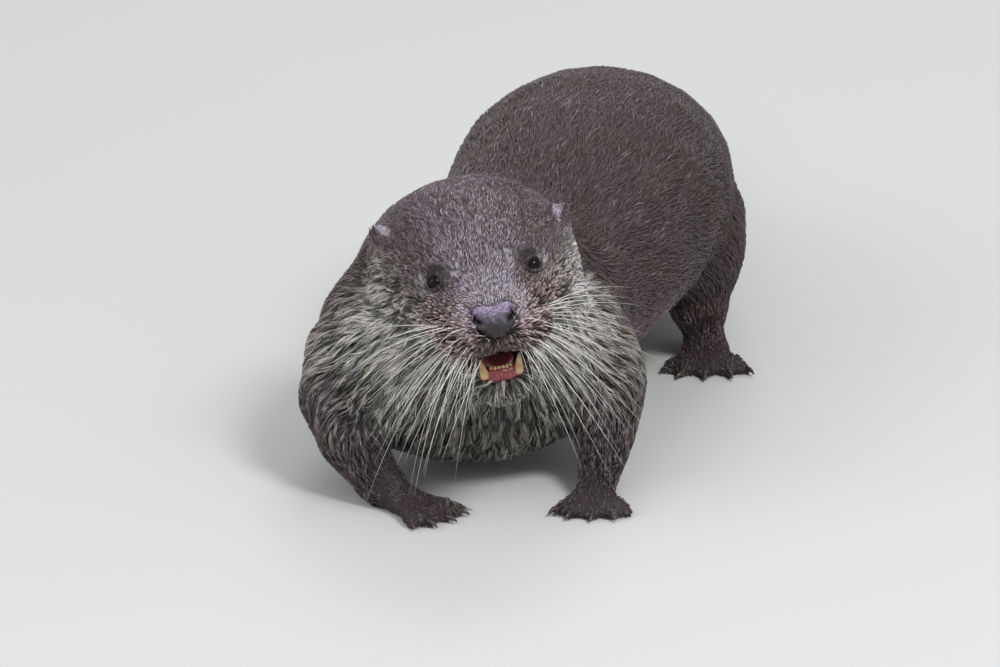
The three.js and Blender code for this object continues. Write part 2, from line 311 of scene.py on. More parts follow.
def gathered(shapes: list[Shape]) -> Shape:
    """Many separate shapes as one.

    Args:
        shapes: The points and faces of each.
    Returns:
        All their points, and their faces sorted by number of corners.
    """
    points, quads, tris, start = [], [], [], 0
    for shape, groups in shapes:
        points.append(shape)
        for group in groups:
            (quads if group.shape[1] == 4 else tris).append(group + start)
        start += len(shape)
    return np.vstack(points), [np.vstack(g) for g in (quads, tris) if g]


def ball(centre: Array, half: Triple, rows: int, around: int) -> Shape:
    """An ellipsoid with closed poles.

    Args:
        centre: Its middle.
        half: Half its size along each axis.
        rows: Rings from pole to pole.
        around: Points in a ring.
    Returns:
        Its points and faces.
    """
    polar = np.linspace(0.06, math.pi - 0.06, rows)
    turn = np.linspace(0, 2 * math.pi, around, endpoint=False)
    p, t = np.meshgrid(polar, turn, indexing="ij")
    shape = np.stack([np.sin(p) * np.cos(t), np.sin(p) * np.sin(t), np.cos(p)], -1).reshape(-1, 3)
    shape = np.vstack([shape, [[0, 0, 1], [0, 0, -1]]]) * np.array(half)
    return centre + shape, closed_rings(rows, around)


# ---- finishes


class Shader:
    """A material's nodes, added one after another."""

    def __init__(self, name: str) -> None:
        """Starts a material with nothing but its surface.

        Args:
            name: The material's name.
        """
        self.material = bpy.data.materials.new(name)
        self.material.use_nodes = True
        self.tree = self.material.node_tree
        self.tree.nodes.clear()
        self.surface = self.tree.nodes.new("ShaderNodeBsdfPrincipled")
        output = self.tree.nodes.new("ShaderNodeOutputMaterial")
        self.tree.links.new(self.surface.outputs[0], output.inputs["Surface"])

    def put(self, socket: Socket, value: Value) -> None:
        """Links a socket to another node's output, or sets it.

        Args:
            socket: The socket.
            value: The output, number or colour that goes into it.
        """
        if isinstance(value, Socket):
            self.tree.links.new(value, socket)
        elif isinstance(value, tuple) and len(value) == 3 and socket.type == "RGBA":
            socket.default_value = (*value, 1.0)
        else:
            socket.default_value = value

    def set(self, **values: Value) -> None:
        """Sets or links the surface's own sockets; an underscore stands for a space."""
        for name, value in values.items():
            self.put(self.surface.inputs[name.replace("_", " ")], value)

    def add(self, kind: str, output: Key, inputs: dict[Key, Value], **settings: str | bool) -> Socket:
        """Adds a node.

        Args:
            kind: Its type, without Blender's "ShaderNode".
            output: The output that is wanted.
            inputs: What goes into its sockets, by their names or numbers.
            settings: Its other settings.
        Returns:
            The output.
        """
        node = self.tree.nodes.new("ShaderNode" + kind)
        for name, value in settings.items():
            setattr(node, name, value)
        for socket, value in inputs.items():
            self.put(node.inputs[socket], value)
        return node.outputs[output]

    def read(self, name: str) -> Socket:
        """A number stored on the piece's points."""
        return self.add("Attribute", "Fac", {}, attribute_name=name)

    def joined(self, x: Value, y: Value) -> Socket:
        """Two numbers as a vector with no third."""
        return self.add("CombineXYZ", 0, {0: x, 1: y})

    def noise(self, scale: float, where: Socket | None = None, detail: float = 3.0) -> Socket:
        """Cloudy noise from 0 to 1, at so many clouds a metre of the piece or a unit of where."""
        where = where or self.add("TexCoord", "Object", {})
        return self.add("TexNoise", "Fac", {"Scale": scale, "Detail": detail, "Vector": where})

    def cells(self, scale: float) -> Socket:
        """The distance to the nearest of so many scattered points a metre."""
        where = self.add("TexCoord", "Object", {})
        return self.add("TexVoronoi", "Distance", {"Scale": scale, "Vector": where})

    def maths(self, kind: str, a: Value, b: Value) -> Socket:
        """One sum of two numbers, kept between 0 and 1."""
        return self.add("Math", 0, {0: a, 1: b}, operation=kind, use_clamp=True)

    def spread(
        self, value: Value, low: float, high: float, to_low: float = 0.0, to_high: float = 1.0
    ) -> Socket:
        """A number carried from one range to another, and kept inside it."""
        return self.add("MapRange", 0, dict(enumerate((value, low, high, to_low, to_high))))

    def mix(self, share: Value, a: Value, b: Value) -> Socket:
        """A colour between two."""
        return self.add("Mix", 2, {0: share, 6: a, 7: b}, data_type="RGBA")

    def bump(self, height: Value, strength: float, distance: float) -> Socket:
        """Relief of this depth in metres, as the surface's normal."""
        return self.add("Bump", 0, {"Height": height, "Strength": strength, "Distance": distance})


def shade(*levels: float) -> Colour:
    """A screen colour, red, green and blue from 0 to 255, as linear light by the usual 2.4 power curve."""
    values = np.array(levels) / 255
    return tuple(np.where(values <= 0.04045, values / 12.92, ((values + 0.055) / 1.055) ** 2.4).tolist())


@dataclass(frozen=True)
class CoatColours:
    """The colours that the skin and every tuft share, so that one marking runs through both."""

    brown: Colour = shade(124, 100, 106)
    warm_brown: Colour = shade(122, 92, 84)
    pale: Colour = shade(248, 245, 230)
    # frost_and_sheen: the lavender-white of pale hair tips, and painted wet sheen in place of the sky's
    # reflection on wet fur.
    frost_and_sheen: Colour = shade(240, 231, 252)
    bristle: Colour = shade(244, 212, 200)
    # underfur_and_shade: the dark of the underfur, and the colour that all painted shade darkens towards.
    underfur_and_shade: Colour = shade(16, 12, 10)
    bare: Colour = shade(142, 136, 142)
    # mouth: the inside of the mouth painted dark red-brown as shade.
    mouth: Colour = shade(46, 22, 17)
    patches: float = 26.0

    def blended(self, shader: Shader) -> Socket:
        """The coat's colour at a point, from the markings that the point carries.

        Args:
            shader: The material being made.
        Returns:
            The colour.
        """
        patches = shader.noise(self.patches, detail=2.0)
        ground = shader.mix(shader.spread(patches, 0.38, 0.64), self.brown, self.warm_brown)
        colour = shader.mix(shader.read("pale"), ground, self.pale)
        # Pale frosted tips and painted wet sheen over the pale and brown.
        colour = shader.mix(shader.read("frost_and_sheen"), colour, self.frost_and_sheen)
        return shader.mix(shader.read("bristle"), colour, self.bristle)


@dataclass(frozen=True)
class TuftFinish:
    """Wet fur: each lock is dark at its root and lighter and glossier towards its tip; the darkening is
    partly dark underfur and partly painted shade in and between the locks.
    """

    colours: CoatColours = CoatColours()
    dry: float = 0.62
    wet: float = 0.36
    wet_spots: float = 160.0
    flecks: float = 1500.0
    fleck_and_glint_share: float = 0.25
    # Painted shade: how dark the lowest tone makes a strand.
    darkening_by_tone_and_shade: float = 0.95
    # Darker towards the root: dark underfur, and painted shade deep in the coat.
    root_underfur_and_shade: float = 0.9
    root_length: float = 0.62
    # Painted shade: the least share of the darkening kept where the coat has no gaps.
    least_gap_shade: float = 0.2
    grain: float = 2600.0
    grain_relief: float = 0.0002
    name: str = "coat"

    def material(self) -> Material:
        """Makes the material: darker by tone and towards its root, with painted shade most where there are
        gaps.

        Returns:
            The material of the tufts.
        """
        shader = Shader(self.name)
        underfur_and_shade = self.colours.underfur_and_shade
        # Specks of the frost_and_sheen colour: pale hair tips and painted glints.
        flecks = shader.spread(shader.noise(self.flecks, detail=1.0), 0.5, 0.75, 0.0, self.fleck_and_glint_share)
        colour = shader.mix(flecks, self.colours.blended(shader), self.colours.frost_and_sheen)
        # Painted shade scaled by the gaps: least_gap_shade of it where the coat has no gaps, all of it where
        # it has gaps.
        gap = shader.spread(shader.read("gap"), 0.0, 1.0, self.least_gap_shade, 1.0)
        # Painted shade on sunk and lower strands, with some random tone.
        tone = shader.spread(shader.read("tone"), 0.0, 0.7, self.darkening_by_tone_and_shade, 0.0)
        # Darker towards the root: dark underfur, and painted shade deep in the coat.
        root = shader.spread(shader.read("along"), 0.0, self.root_length, self.root_underfur_and_shade, 0.0)
        for depth in (tone, root):
            colour = shader.mix(shader.maths("MULTIPLY", depth, gap), colour, underfur_and_shade)
        # Darkening by dark_and_shade: the coat's own darker parts and painted shade.
        colour = shader.mix(shader.read("dark_and_shade"), colour, underfur_and_shade)
        wet_spots = shader.noise(self.wet_spots, detail=2.0)
        shader.set(
            Base_Color=colour,
            Roughness=shader.spread(wet_spots, 0.3, 0.7, self.wet, self.dry),
            Specular_IOR_Level=0.45,
            Normal=shader.bump(shader.noise(self.grain, detail=1.0), 0.35, self.grain_relief),
        )
        return shader.material


@dataclass(frozen=True)
class SkinFinish:
    """The underfur flat on the skin: streaks along the lie of the coat, darkened as painted shade under the
    coat, with bare lids, lips and mouth, the inside of the mouth painted dark as shade.
    """

    colours: CoatColours = CoatColours()
    streaks: float = 900.0
    finer_on_head: float = 1.6
    streak_relief: float = 0.0006
    mottles: float = 700.0
    hairy_rough: float = 0.6
    bare_rough: float = 0.38
    name: str = "underfur"

    def material(self) -> Material:
        """Makes the material.

        Returns:
            The material of the skin.
        """
        shader = Shader(self.name)
        colours = self.colours
        body = shader.joined(shader.read("round_body"), shader.read("along_body"))
        head = shader.joined(shader.read("round_head"), shader.read("along_head"))
        body_lines = shader.noise(self.streaks, body, 2.0)
        head_lines = shader.noise(self.streaks * self.finer_on_head, head, 2.0)
        lines = shader.mix(shader.read("on_head"), body_lines, head_lines)
        # Painted shade under the coat: the skin darkens towards underfur_and_shade, most where the coat has
        # gaps, a little less along the streaks.
        gaps = shader.spread(shader.read("gap"), 0.0, 1.0, 0.35, 1.0)
        depth = shader.maths("MULTIPLY", shader.spread(lines, 0.35, 0.7, 1.0, 0.75), gaps)
        colour = shader.mix(depth, colours.blended(shader), colours.underfur_and_shade)
        bare = shader.read("bare")
        mottles = shader.spread(shader.noise(self.mottles), 0.3, 0.7)
        colour = shader.mix(bare, colour, shader.mix(mottles, colours.bare, colours.brown))
        # Darkening by dark_and_shade: the coat's own darker parts and painted shade.
        colour = shader.mix(shader.read("dark_and_shade"), colour, colours.underfur_and_shade)
        # Painted shade inside the mouth.
        colour = shader.mix(shader.read("mouth"), colour, colours.mouth)
        shader.set(
            Base_Color=colour,
            Roughness=shader.spread(bare, 0.0, 1.0, self.hairy_rough, self.bare_rough),
            Specular_IOR_Level=0.4,
            Normal=shader.bump(lines, 0.6, self.streak_relief),
        )
        return shader.material


@dataclass(frozen=True)
class PlainFinish:
    """A finish of two mottled colours, with its gloss and its grain."""

    name: str
    light: Colour
    dark: Colour
    rough: float
    grain: float
    relief: float
    clear: float = 0.0
    flesh: float = 0.0

    def material(self) -> Material:
        """Makes the material.

        Returns:
            The material.
        """
        shader = Shader(self.name)
        pattern = shader.noise(self.grain)
        smears = shader.noise(self.grain * 0.5)
        shader.set(
            Base_Color=shader.mix(shader.spread(pattern, 0.25, 0.7), self.light, self.dark),
            Roughness=shader.spread(smears, 0.3, 0.7, self.rough * 0.8, self.rough * 1.2),
            Coat_Weight=self.clear,
            Coat_Roughness=0.08,
            Subsurface_Weight=self.flesh,
            Subsurface_Scale=0.002,
            Normal=shader.bump(shader.maths("SUBTRACT", 1.0, pattern), 0.7, self.relief),
        )
        return shader.material


@dataclass(frozen=True)
class NoseFinish:
    """Bare pebbled nose skin: lighter above as painted light from above, darker below as painted shade, and
    black inside the nostrils as painted shade.
    """

    # The top is painted lighter as a painted reflection of light from above, the bottom darker as painted
    # shade.
    above: Colour = shade(174, 154, 192)
    below: Colour = shade(34, 27, 31)
    seam: Colour = shade(26, 20, 25)
    # Black in the nostrils: painted shade of their hollows.
    hole: Colour = shade(10, 7, 8)
    clouds: float = 350.0
    cloud_share: float = 0.14
    pebbles: float = 1250.0
    pebble_relief: float = 0.0005
    rough: float = 0.42
    clear: float = 0.35
    name: str = "bare_nose"

    def material(self) -> Material:
        """Makes the material.

        Returns:
            The material of the nose pad.
        """
        shader = Shader(self.name)
        clouds = shader.spread(shader.noise(self.clouds), 0.3, 0.7, -self.cloud_share, self.cloud_share)
        # lift runs from the pad's bottom to its top: painted shade below, painted light above.
        lift = shader.maths("ADD", shader.read("lift"), clouds)
        colour = shader.mix(shader.spread(lift, 0.45, 0.97), self.below, self.above)
        pebbles = shader.cells(self.pebbles)
        colour = shader.mix(shader.spread(pebbles, 0.3, 0.75, 0.0, 0.75), colour, self.seam)
        nostril = shader.read("nostril")
        shader.set(
            Base_Color=shader.mix(nostril, colour, self.hole),
            Roughness=shader.spread(nostril, 0.1, 0.5, self.rough, 1.0),
            Coat_Weight=shader.spread(nostril, 0.0, 0.3, self.clear, 0.0),
            Coat_Roughness=0.15,
            Normal=shader.bump(shader.maths("SUBTRACT", 1.0, pebbles), 0.8, self.pebble_relief),
        )
        return shader.material


@dataclass(frozen=True)
class EyeFinish:
    """A dark wet eye: black pupil, very dark brown iris, clear glossy surface."""

    pupil: Colour = shade(6, 5, 6)
    iris: Colour = shade(30, 19, 13)
    rim: Colour = shade(10, 8, 8)
    fibres: float = 1400.0
    pupil_edge: tuple[float, float] = (11.0, 14.0)
    iris_edge: tuple[float, float] = (27.0, 34.0)
    name: str = "wet_eye"

    def material(self) -> Material:
        """Makes the material.

        Returns:
            The material of the eyeballs.
        """
        shader = Shader(self.name)
        turn = shader.read("from_axis")
        fibres = shader.spread(shader.noise(self.fibres), 0.3, 0.7)
        iris = shader.mix(fibres, self.iris, self.rim)
        colour = shader.mix(shader.spread(turn, *self.pupil_edge), self.pupil, iris)
        shader.set(
            Base_Color=shader.mix(shader.spread(turn, *self.iris_edge), colour, self.rim),
            Roughness=0.3,
            Coat_Weight=0.4,
            Coat_Roughness=0.03,
            Specular_IOR_Level=0.0,
        )
        return shader.material


@dataclass(frozen=True)
class WhiskerFinish:
    """Whisker horn: white and slightly clear, darker where it leaves the pad."""

    white: Colour = shade(240, 238, 232)
    root: Colour = shade(120, 108, 100)
    root_length: float = 0.12
    flecks: float = 500.0
    name: str = "whisker"

    def material(self) -> Material:
        """Makes the material.

        Returns:
            The material of the whiskers.
        """
        shader = Shader(self.name)
        share = shader.spread(shader.read("along"), 0.0, self.root_length)
        fleck = shader.spread(shader.noise(self.flecks), 0.3, 0.7, 0.85, 1.0)
        shader.set(
            Base_Color=shader.mix(shader.maths("MULTIPLY", share, fleck), self.root, self.white),
            Roughness=0.32,
            Specular_IOR_Level=0.5,
            Subsurface_Weight=0.15,
            Subsurface_Scale=0.001,
        )
        return shader.material


# ---- where things are on the otter


@dataclass(frozen=True)
class HeadFrame:
    """The head's own axes in millimetres: x to its left, y back towards the neck, z to the crown."""

    origin: Array
    axes: Array

    # The middle of the eyes and of the nose in these axes.
    EYES = (0.0, -33.0, 10.0)
    NOSE = (0.0, -65.5, -8.0)

    @classmethod
    def from_features(cls) -> "HeadFrame":
        """The axes worked out from the places of the two eyes and the nose.

        Returns:
            The head's frame.
        """
        left, right, nose = (box_centre(n) for n in ("eye_left", "eye_right", "nose"))
        middle = (left + right) / 2
        x = unit(left - right)
        forward = nose - middle
        forward = unit(forward - (forward @ x) * x)
        span = unit(np.array(cls.NOSE) - np.array(cls.EYES))
        square = np.cross(x, forward)
        y = span[1] * forward - span[2] * square
        z = span[2] * forward + span[1] * square
        axes = np.stack([x, unit(y), unit(z)])
        return cls(middle - np.array(cls.EYES) * MM @ axes, axes)

    def local(self, points: Array) -> Array:
        """Points of the scene in the head's axes."""
        return (points - self.origin) @ self.axes.T / MM

    def world(self, points: Array) -> Array:
        """Points in the head's axes as points of the scene."""
        return self.origin + np.asarray(points, float) * MM @ self.axes


class Lie(Enum):
    """Which way the coat runs."""

    FROM_NOSE = 0
    ALONG_SPINE = 1
    DOWN_LIMB = 2
    TO_TOES = 3
    TO_EAR_TIP = 4


class Patch(Enum):
    """The pieces that the coat is made in."""

    FACE = "coat_face"
    CROWN = "coat_crown"
    CHEEKS = "coat_cheeks"
    THROAT = "coat_throat"
    BREAST = "coat_breast"
    SHOULDERS = "coat_shoulders"
    LOINS = "coat_loins"
    RUMP = "coat_rump"
    TAIL = "coat_tail"
    LEGS = "coat_legs"
    FEET = "coat_feet"


@dataclass(frozen=True)
class Lay:
    """How the coat grows at one kind of place. Lengths are in millimetres, and markings go from 0 to 1."""

    patch: Patch
    depth: float
    length: float
    width: float
    lock: float
    lie: Lie = Lie.FROM_NOSE
    pale: float = 0.0
    frost_and_sheen: float = 0.0
    bristle: float = 0.0
    gap: float = 0.4
    # dark_and_shade: darkening towards underfur_and_shade; on the back the coat's own darker brown, under
    # the jaw, low on the chest and on the belly, legs and feet painted shade.
    dark_and_shade: float = 0.0
    cover: float = 1.0
    hang: float = 0.0


BRIDGE = Lay(Patch.FACE, 0.8, 4.0, 0.48, 0.5, pale=0.2, frost_and_sheen=1.0, gap=0.9)
NOSE_SIDE = Lay(Patch.FACE, 0.9, 2.8, 0.4, 0.4, frost_and_sheen=1.0, gap=0.6)
EYE_RING = Lay(Patch.FACE, 0.4, 1.7, 0.36, 0.3, frost_and_sheen=0.1, gap=0.9, dark_and_shade=0.35)
MUZZLE_SIDE = Lay(Patch.FACE, 0.8, 3.2, 0.42, 0.4, frost_and_sheen=0.4, gap=0.9, dark_and_shade=0.2)
FOREHEAD = Lay(Patch.CROWN, 1.1, 5.6, 0.42, 0.5, frost_and_sheen=0.53, gap=0.9)
CROWN = Lay(Patch.CROWN, 1.4, 6.4, 0.46, 0.7, frost_and_sheen=0.42, gap=0.85, dark_and_shade=0.02)
CROWN_SIDE = Lay(Patch.CROWN, 1.6, 5.6, 0.5, 0.7, frost_and_sheen=0.12, gap=0.9, dark_and_shade=0.25)
PAD = Lay(Patch.FACE, 2.2, 5.4, 1.8, 0.5, bristle=1.0, gap=1.0, cover=0.2)
PAD_BACK = Lay(Patch.FACE, 2.2, 5.6, 1.5, 0.7, bristle=0.9, gap=1.0, cover=0.26)
LIP = Lay(Patch.FACE, 1.2, 5.6, 0.6, 0.6, bristle=0.55, gap=1.0, dark_and_shade=0.35, hang=0.9)
CHEEK = Lay(
    Patch.CHEEKS, 2.4, 7.0, 0.6, 0.9, pale=0.45, bristle=0.2, gap=1.0, dark_and_shade=0.05, cover=0.85, hang=0.15
)
CHEEK_BACK = Lay(Patch.CHEEKS, 4.6, 18.0, 0.54, 1.15, pale=1.0, frost_and_sheen=0.45, gap=0.8, hang=0.5)
CHEEK_EDGE = Lay(Patch.CHEEKS, 3.6, 15.0, 0.54, 1.1, pale=0.8, gap=0.9, dark_and_shade=0.15, hang=0.3)
JOWL = Lay(Patch.THROAT, 4.6, 18.0, 0.54, 1.15, pale=1.0, gap=1.0, dark_and_shade=0.3, hang=0.6)
CHIN = Lay(Patch.FACE, 1.2, 5.0, 0.5, 0.6, pale=0.6, gap=1.0, dark_and_shade=0.3)
THROAT = Lay(Patch.THROAT, 4.6, 18.0, 0.54, 1.15, pale=0.9, gap=1.0, dark_and_shade=0.25, hang=0.6)
# Painted shade under the jaw darkens the middle of the throat.
THROAT_MID = Lay(Patch.THROAT, 4.0, 13.0, 0.5, 1.1, pale=0.7, gap=1.0, dark_and_shade=0.66, hang=0.6)
EAR = Lay(Patch.CROWN, 0.35, 1.1, 0.38, 0.4, Lie.TO_EAR_TIP, frost_and_sheen=0.15, gap=0.4)
NAPE = Lay(Patch.SHOULDERS, 2.0, 10.0, 0.55, 1.1, Lie.ALONG_SPINE, frost_and_sheen=0.08, gap=0.6, dark_and_shade=0.42)
NECK_RIGHT = Lay(Patch.THROAT, 4.4, 18.0, 0.54, 1.15, pale=0.16, gap=1.0, dark_and_shade=0.15, hang=0.7)
NECK_LEFT = Lay(Patch.SHOULDERS, 2.6, 13.0, 0.6, 1.2, Lie.ALONG_SPINE, pale=0.05, gap=0.6, dark_and_shade=0.42)
NECK_LOW = Lay(Patch.THROAT, 4.4, 18.0, 0.54, 1.15, pale=0.6, gap=1.0, dark_and_shade=0.25, hang=0.8)
SHOULDER = Lay(Patch.SHOULDERS, 2.2, 12.0, 0.6, 1.1, Lie.ALONG_SPINE, frost_and_sheen=0.05, gap=0.5, dark_and_shade=0.46)
BREAST = Lay(Patch.BREAST, 5.2, 20.0, 0.56, 1.2, pale=0.95, gap=1.0, dark_and_shade=0.1, hang=0.9)
UPPER_ARM = Lay(Patch.BREAST, 4.2, 19.0, 0.56, 1.2, pale=0.85, gap=1.0, dark_and_shade=0.08, hang=0.9)
FOREARM = Lay(Patch.BREAST, 3.4, 15.0, 0.56, 1.2, pale=0.5, frost_and_sheen=0.2, gap=1.0, dark_and_shade=0.3, hang=0.9)
# Darker low on the chest: wet fur and painted shade.
BREAST_LOW = Lay(Patch.BREAST, 5.0, 18.0, 0.54, 1.2, pale=0.6, gap=1.0, dark_and_shade=0.42, hang=0.8)
BACK = Lay(Patch.LOINS, 1.8, 12.0, 0.6, 1.0, Lie.ALONG_SPINE, frost_and_sheen=0.05, gap=0.5, dark_and_shade=0.42)
FLANK = Lay(Patch.LOINS, 2.4, 13.0, 0.66, 1.3, Lie.ALONG_SPINE, pale=0.05, gap=0.5, dark_and_shade=0.58)
BELLY = Lay(Patch.LOINS, 3.0, 13.0, 0.8, 1.4, Lie.ALONG_SPINE, pale=0.5, gap=0.8, dark_and_shade=0.4)
FORELEG = Lay(Patch.LEGS, 2.4, 9.0, 0.6, 1.2, Lie.DOWN_LIMB, frost_and_sheen=0.06, pale=0.12, gap=0.9, dark_and_shade=0.5)
THIGH = Lay(Patch.RUMP, 2.6, 11.0, 0.7, 1.2, Lie.DOWN_LIMB, gap=0.5, dark_and_shade=0.5)
SHANK = Lay(Patch.LEGS, 2.0, 8.0, 0.7, 1.0, Lie.DOWN_LIMB, gap=0.6, dark_and_shade=0.52)
FOOT = Lay(Patch.FEET, 0.6, 2.6, 0.45, 0.5, Lie.TO_TOES, frost_and_sheen=0.14, gap=0.8, dark_and_shade=0.5)
TAIL = Lay(Patch.TAIL, 2.2, 11.0, 0.66, 1.2, Lie.ALONG_SPINE, gap=0.5, dark_and_shade=0.4)
TAIL_END = Lay(Patch.TAIL, 1.6, 8.0, 0.66, 1.0, Lie.ALONG_SPINE, gap=0.5, dark_and_shade=0.4)


@dataclass(frozen=True)
class Guide:
    """A place that a lay of the coat grows round: in the head's axes, or at shares of a CAD node's box."""

    lay: Lay
    at: Triple
    reach: float
    node: str = ""
    paired: bool = False
    patch: Patch | None = None


GUIDES = (
    Guide(BRIDGE, (0, -52, 6), 13),
    Guide(BRIDGE, (11, -56, 0), 8, paired=True),
    Guide(NOSE_SIDE, (14.0, -63, -8), 6.0, paired=True),
    Guide(EYE_RING, (26, -36, 10), 8.5, paired=True),
    Guide(MUZZLE_SIDE, (19, -45, 4.5), 7.5, paired=True),
    Guide(FOREHEAD, (0, -26, 24), 19),
    Guide(CROWN, (0, 8, 38), 26),
    Guide(CROWN, (0, 44, 38), 26),
    Guide(CROWN_SIDE, (38, 2, 22), 18, paired=True),
    Guide(CROWN_SIDE, (40, 40, 20), 20, paired=True),
    Guide(CROWN_SIDE, (36, -22, 14), 12, paired=True),
    Guide(PAD, (17.5, -58.5, -12.5), 12.5, paired=True),
    Guide(PAD_BACK, (28.5, -45, -5), 12, paired=True),
    Guide(LIP, (13, -57, -28), 10, paired=True),
    Guide(LIP, (0, -66, -22), 8.5),
    Guide(CHEEK, (40, -20, -8), 15, paired=True),
    Guide(CHEEK_BACK, (52, 6, -12), 20, paired=True),
    Guide(CHEEK_BACK, (46, -4, -32), 18, paired=True),
    Guide(CHEEK_BACK, (-50, 22, -20), 20),
    Guide(NECK_LEFT, (58, 30, -4), 20),
    Guide(CHEEK_EDGE, (57, 18, -12), 11),
    Guide(CHEEK_BACK, (50, 24, -36), 20),
    Guide(JOWL, (30, -18, -46), 17, paired=True),
    Guide(CHIN, (0, -52, -57), 14),
    Guide(CHIN, (12, -44, -56), 11, paired=True),
    Guide(THROAT_MID, (0, -20, -68), 20),
    Guide(THROAT, (0, 20, -66), 30),
    Guide(EAR, (0.5, 0.5, 0.5), 10, "ear_left"),
    Guide(EAR, (0.5, 0.5, 0.5), 10, "ear_right"),
    Guide(NAPE, (0.5, 0.6, 1.0), 40, "neck"),
    Guide(NECK_RIGHT, (0.0, 0.42, 0.45), 30, "neck"),
    Guide(NECK_RIGHT, (-62, 34, -14), 13),
    Guide(NECK_LEFT, (1.0, 0.6, 0.55), 36, "neck"),
    Guide(NECK_LOW, (0.9, 0.3, 0.1), 24, "neck"),
    Guide(SHOULDER, (0.5, 0.75, 1.0), 60, "chest"),
    Guide(SHOULDER, (0.0, 0.7, 0.6), 45, "chest"),
    Guide(SHOULDER, (1.0, 0.7, 0.6), 45, "chest"),
    Guide(BREAST, (0.5, 0.0, 0.45), 25, "chest"),
    Guide(BREAST, (0.16, 0.12, 0.6), 36, "chest"),
    Guide(BREAST, (0.84, 0.12, 0.6), 36, "chest"),
    Guide(BREAST_LOW, (0.5, 0.0, 0.1), 34, "chest"),
    Guide(UPPER_ARM, (0.62, 0.5, 0.95), 24, "foreleg_right"),
    Guide(FOREARM, (0.42, 0.25, 0.62), 20, "foreleg_right"),
    Guide(FOREARM, (0.58, 0.25, 0.62), 20, "foreleg_left"),
    Guide(BELLY, (0.5, 0.6, 0.0), 50, "chest"),
    Guide(BACK, (0.45, 0.5, 1.0), 70, "loins"),
    Guide(FLANK, (0.0, 0.5, 0.5), 55, "loins"),
    Guide(FLANK, (1.0, 0.5, 0.5), 55, "loins"),
    Guide(BELLY, (0.5, 0.5, 0.0), 55, "loins"),
    Guide(BACK, (0.5, 0.4, 1.0), 70, "rump", patch=Patch.RUMP),
    Guide(FLANK, (0.0, 0.6, 0.5), 55, "rump", patch=Patch.RUMP),
    Guide(FLANK, (1.0, 0.7, 0.5), 55, "rump", patch=Patch.RUMP),
    Guide(BELLY, (0.5, 0.5, 0.0), 50, "rump", patch=Patch.RUMP),
    Guide(THIGH, (0.5, 0.5, 0.6), 40, "thigh_left"),
    Guide(THIGH, (0.5, 0.5, 0.6), 40, "thigh_right"),
    Guide(SHANK, (0.6, 0.45, 0.05), 22, "thigh_left"),
    Guide(SHANK, (0.4, 0.45, 0.05), 22, "thigh_right"),
    Guide(FORELEG, (0.8, 0.4, 0.35), 26, "foreleg_left"),
    Guide(FORELEG, (0.2, 0.4, 0.35), 26, "foreleg_right"),
    Guide(FORELEG, (0.6, 0.1, 0.1), 18, "foreleg_left"),
    Guide(FORELEG, (0.5, 0.1, 0.1), 18, "foreleg_right"),
    Guide(FOOT, (0.5, 0.4, 0.5), 24, "forefoot_left"),
    Guide(FOOT, (0.5, 0.4, 0.5), 24, "forefoot_right"),
    Guide(FOOT, (0.5, 0.1, 0.4), 20, "forefoot_left"),
    Guide(FOOT, (0.85, 0.2, 0.4), 22, "forefoot_right"),
    Guide(FOOT, (0.5, 0.4, 0.5), 32, "hindfoot_left"),
    Guide(FOOT, (0.5, 0.4, 0.5), 32, "hindfoot_right"),
    Guide(TAIL, (0.5, 0.5, 0.5), 50, "tail_base"),
    Guide(TAIL, (0.5, 0.4, 0.5), 50, "tail_middle"),
    Guide(TAIL_END, (0.5, 0.5, 0.5), 50, "tail_tip"),
)
PATCHES = tuple(Patch)
SPINE_STEP = 0.01


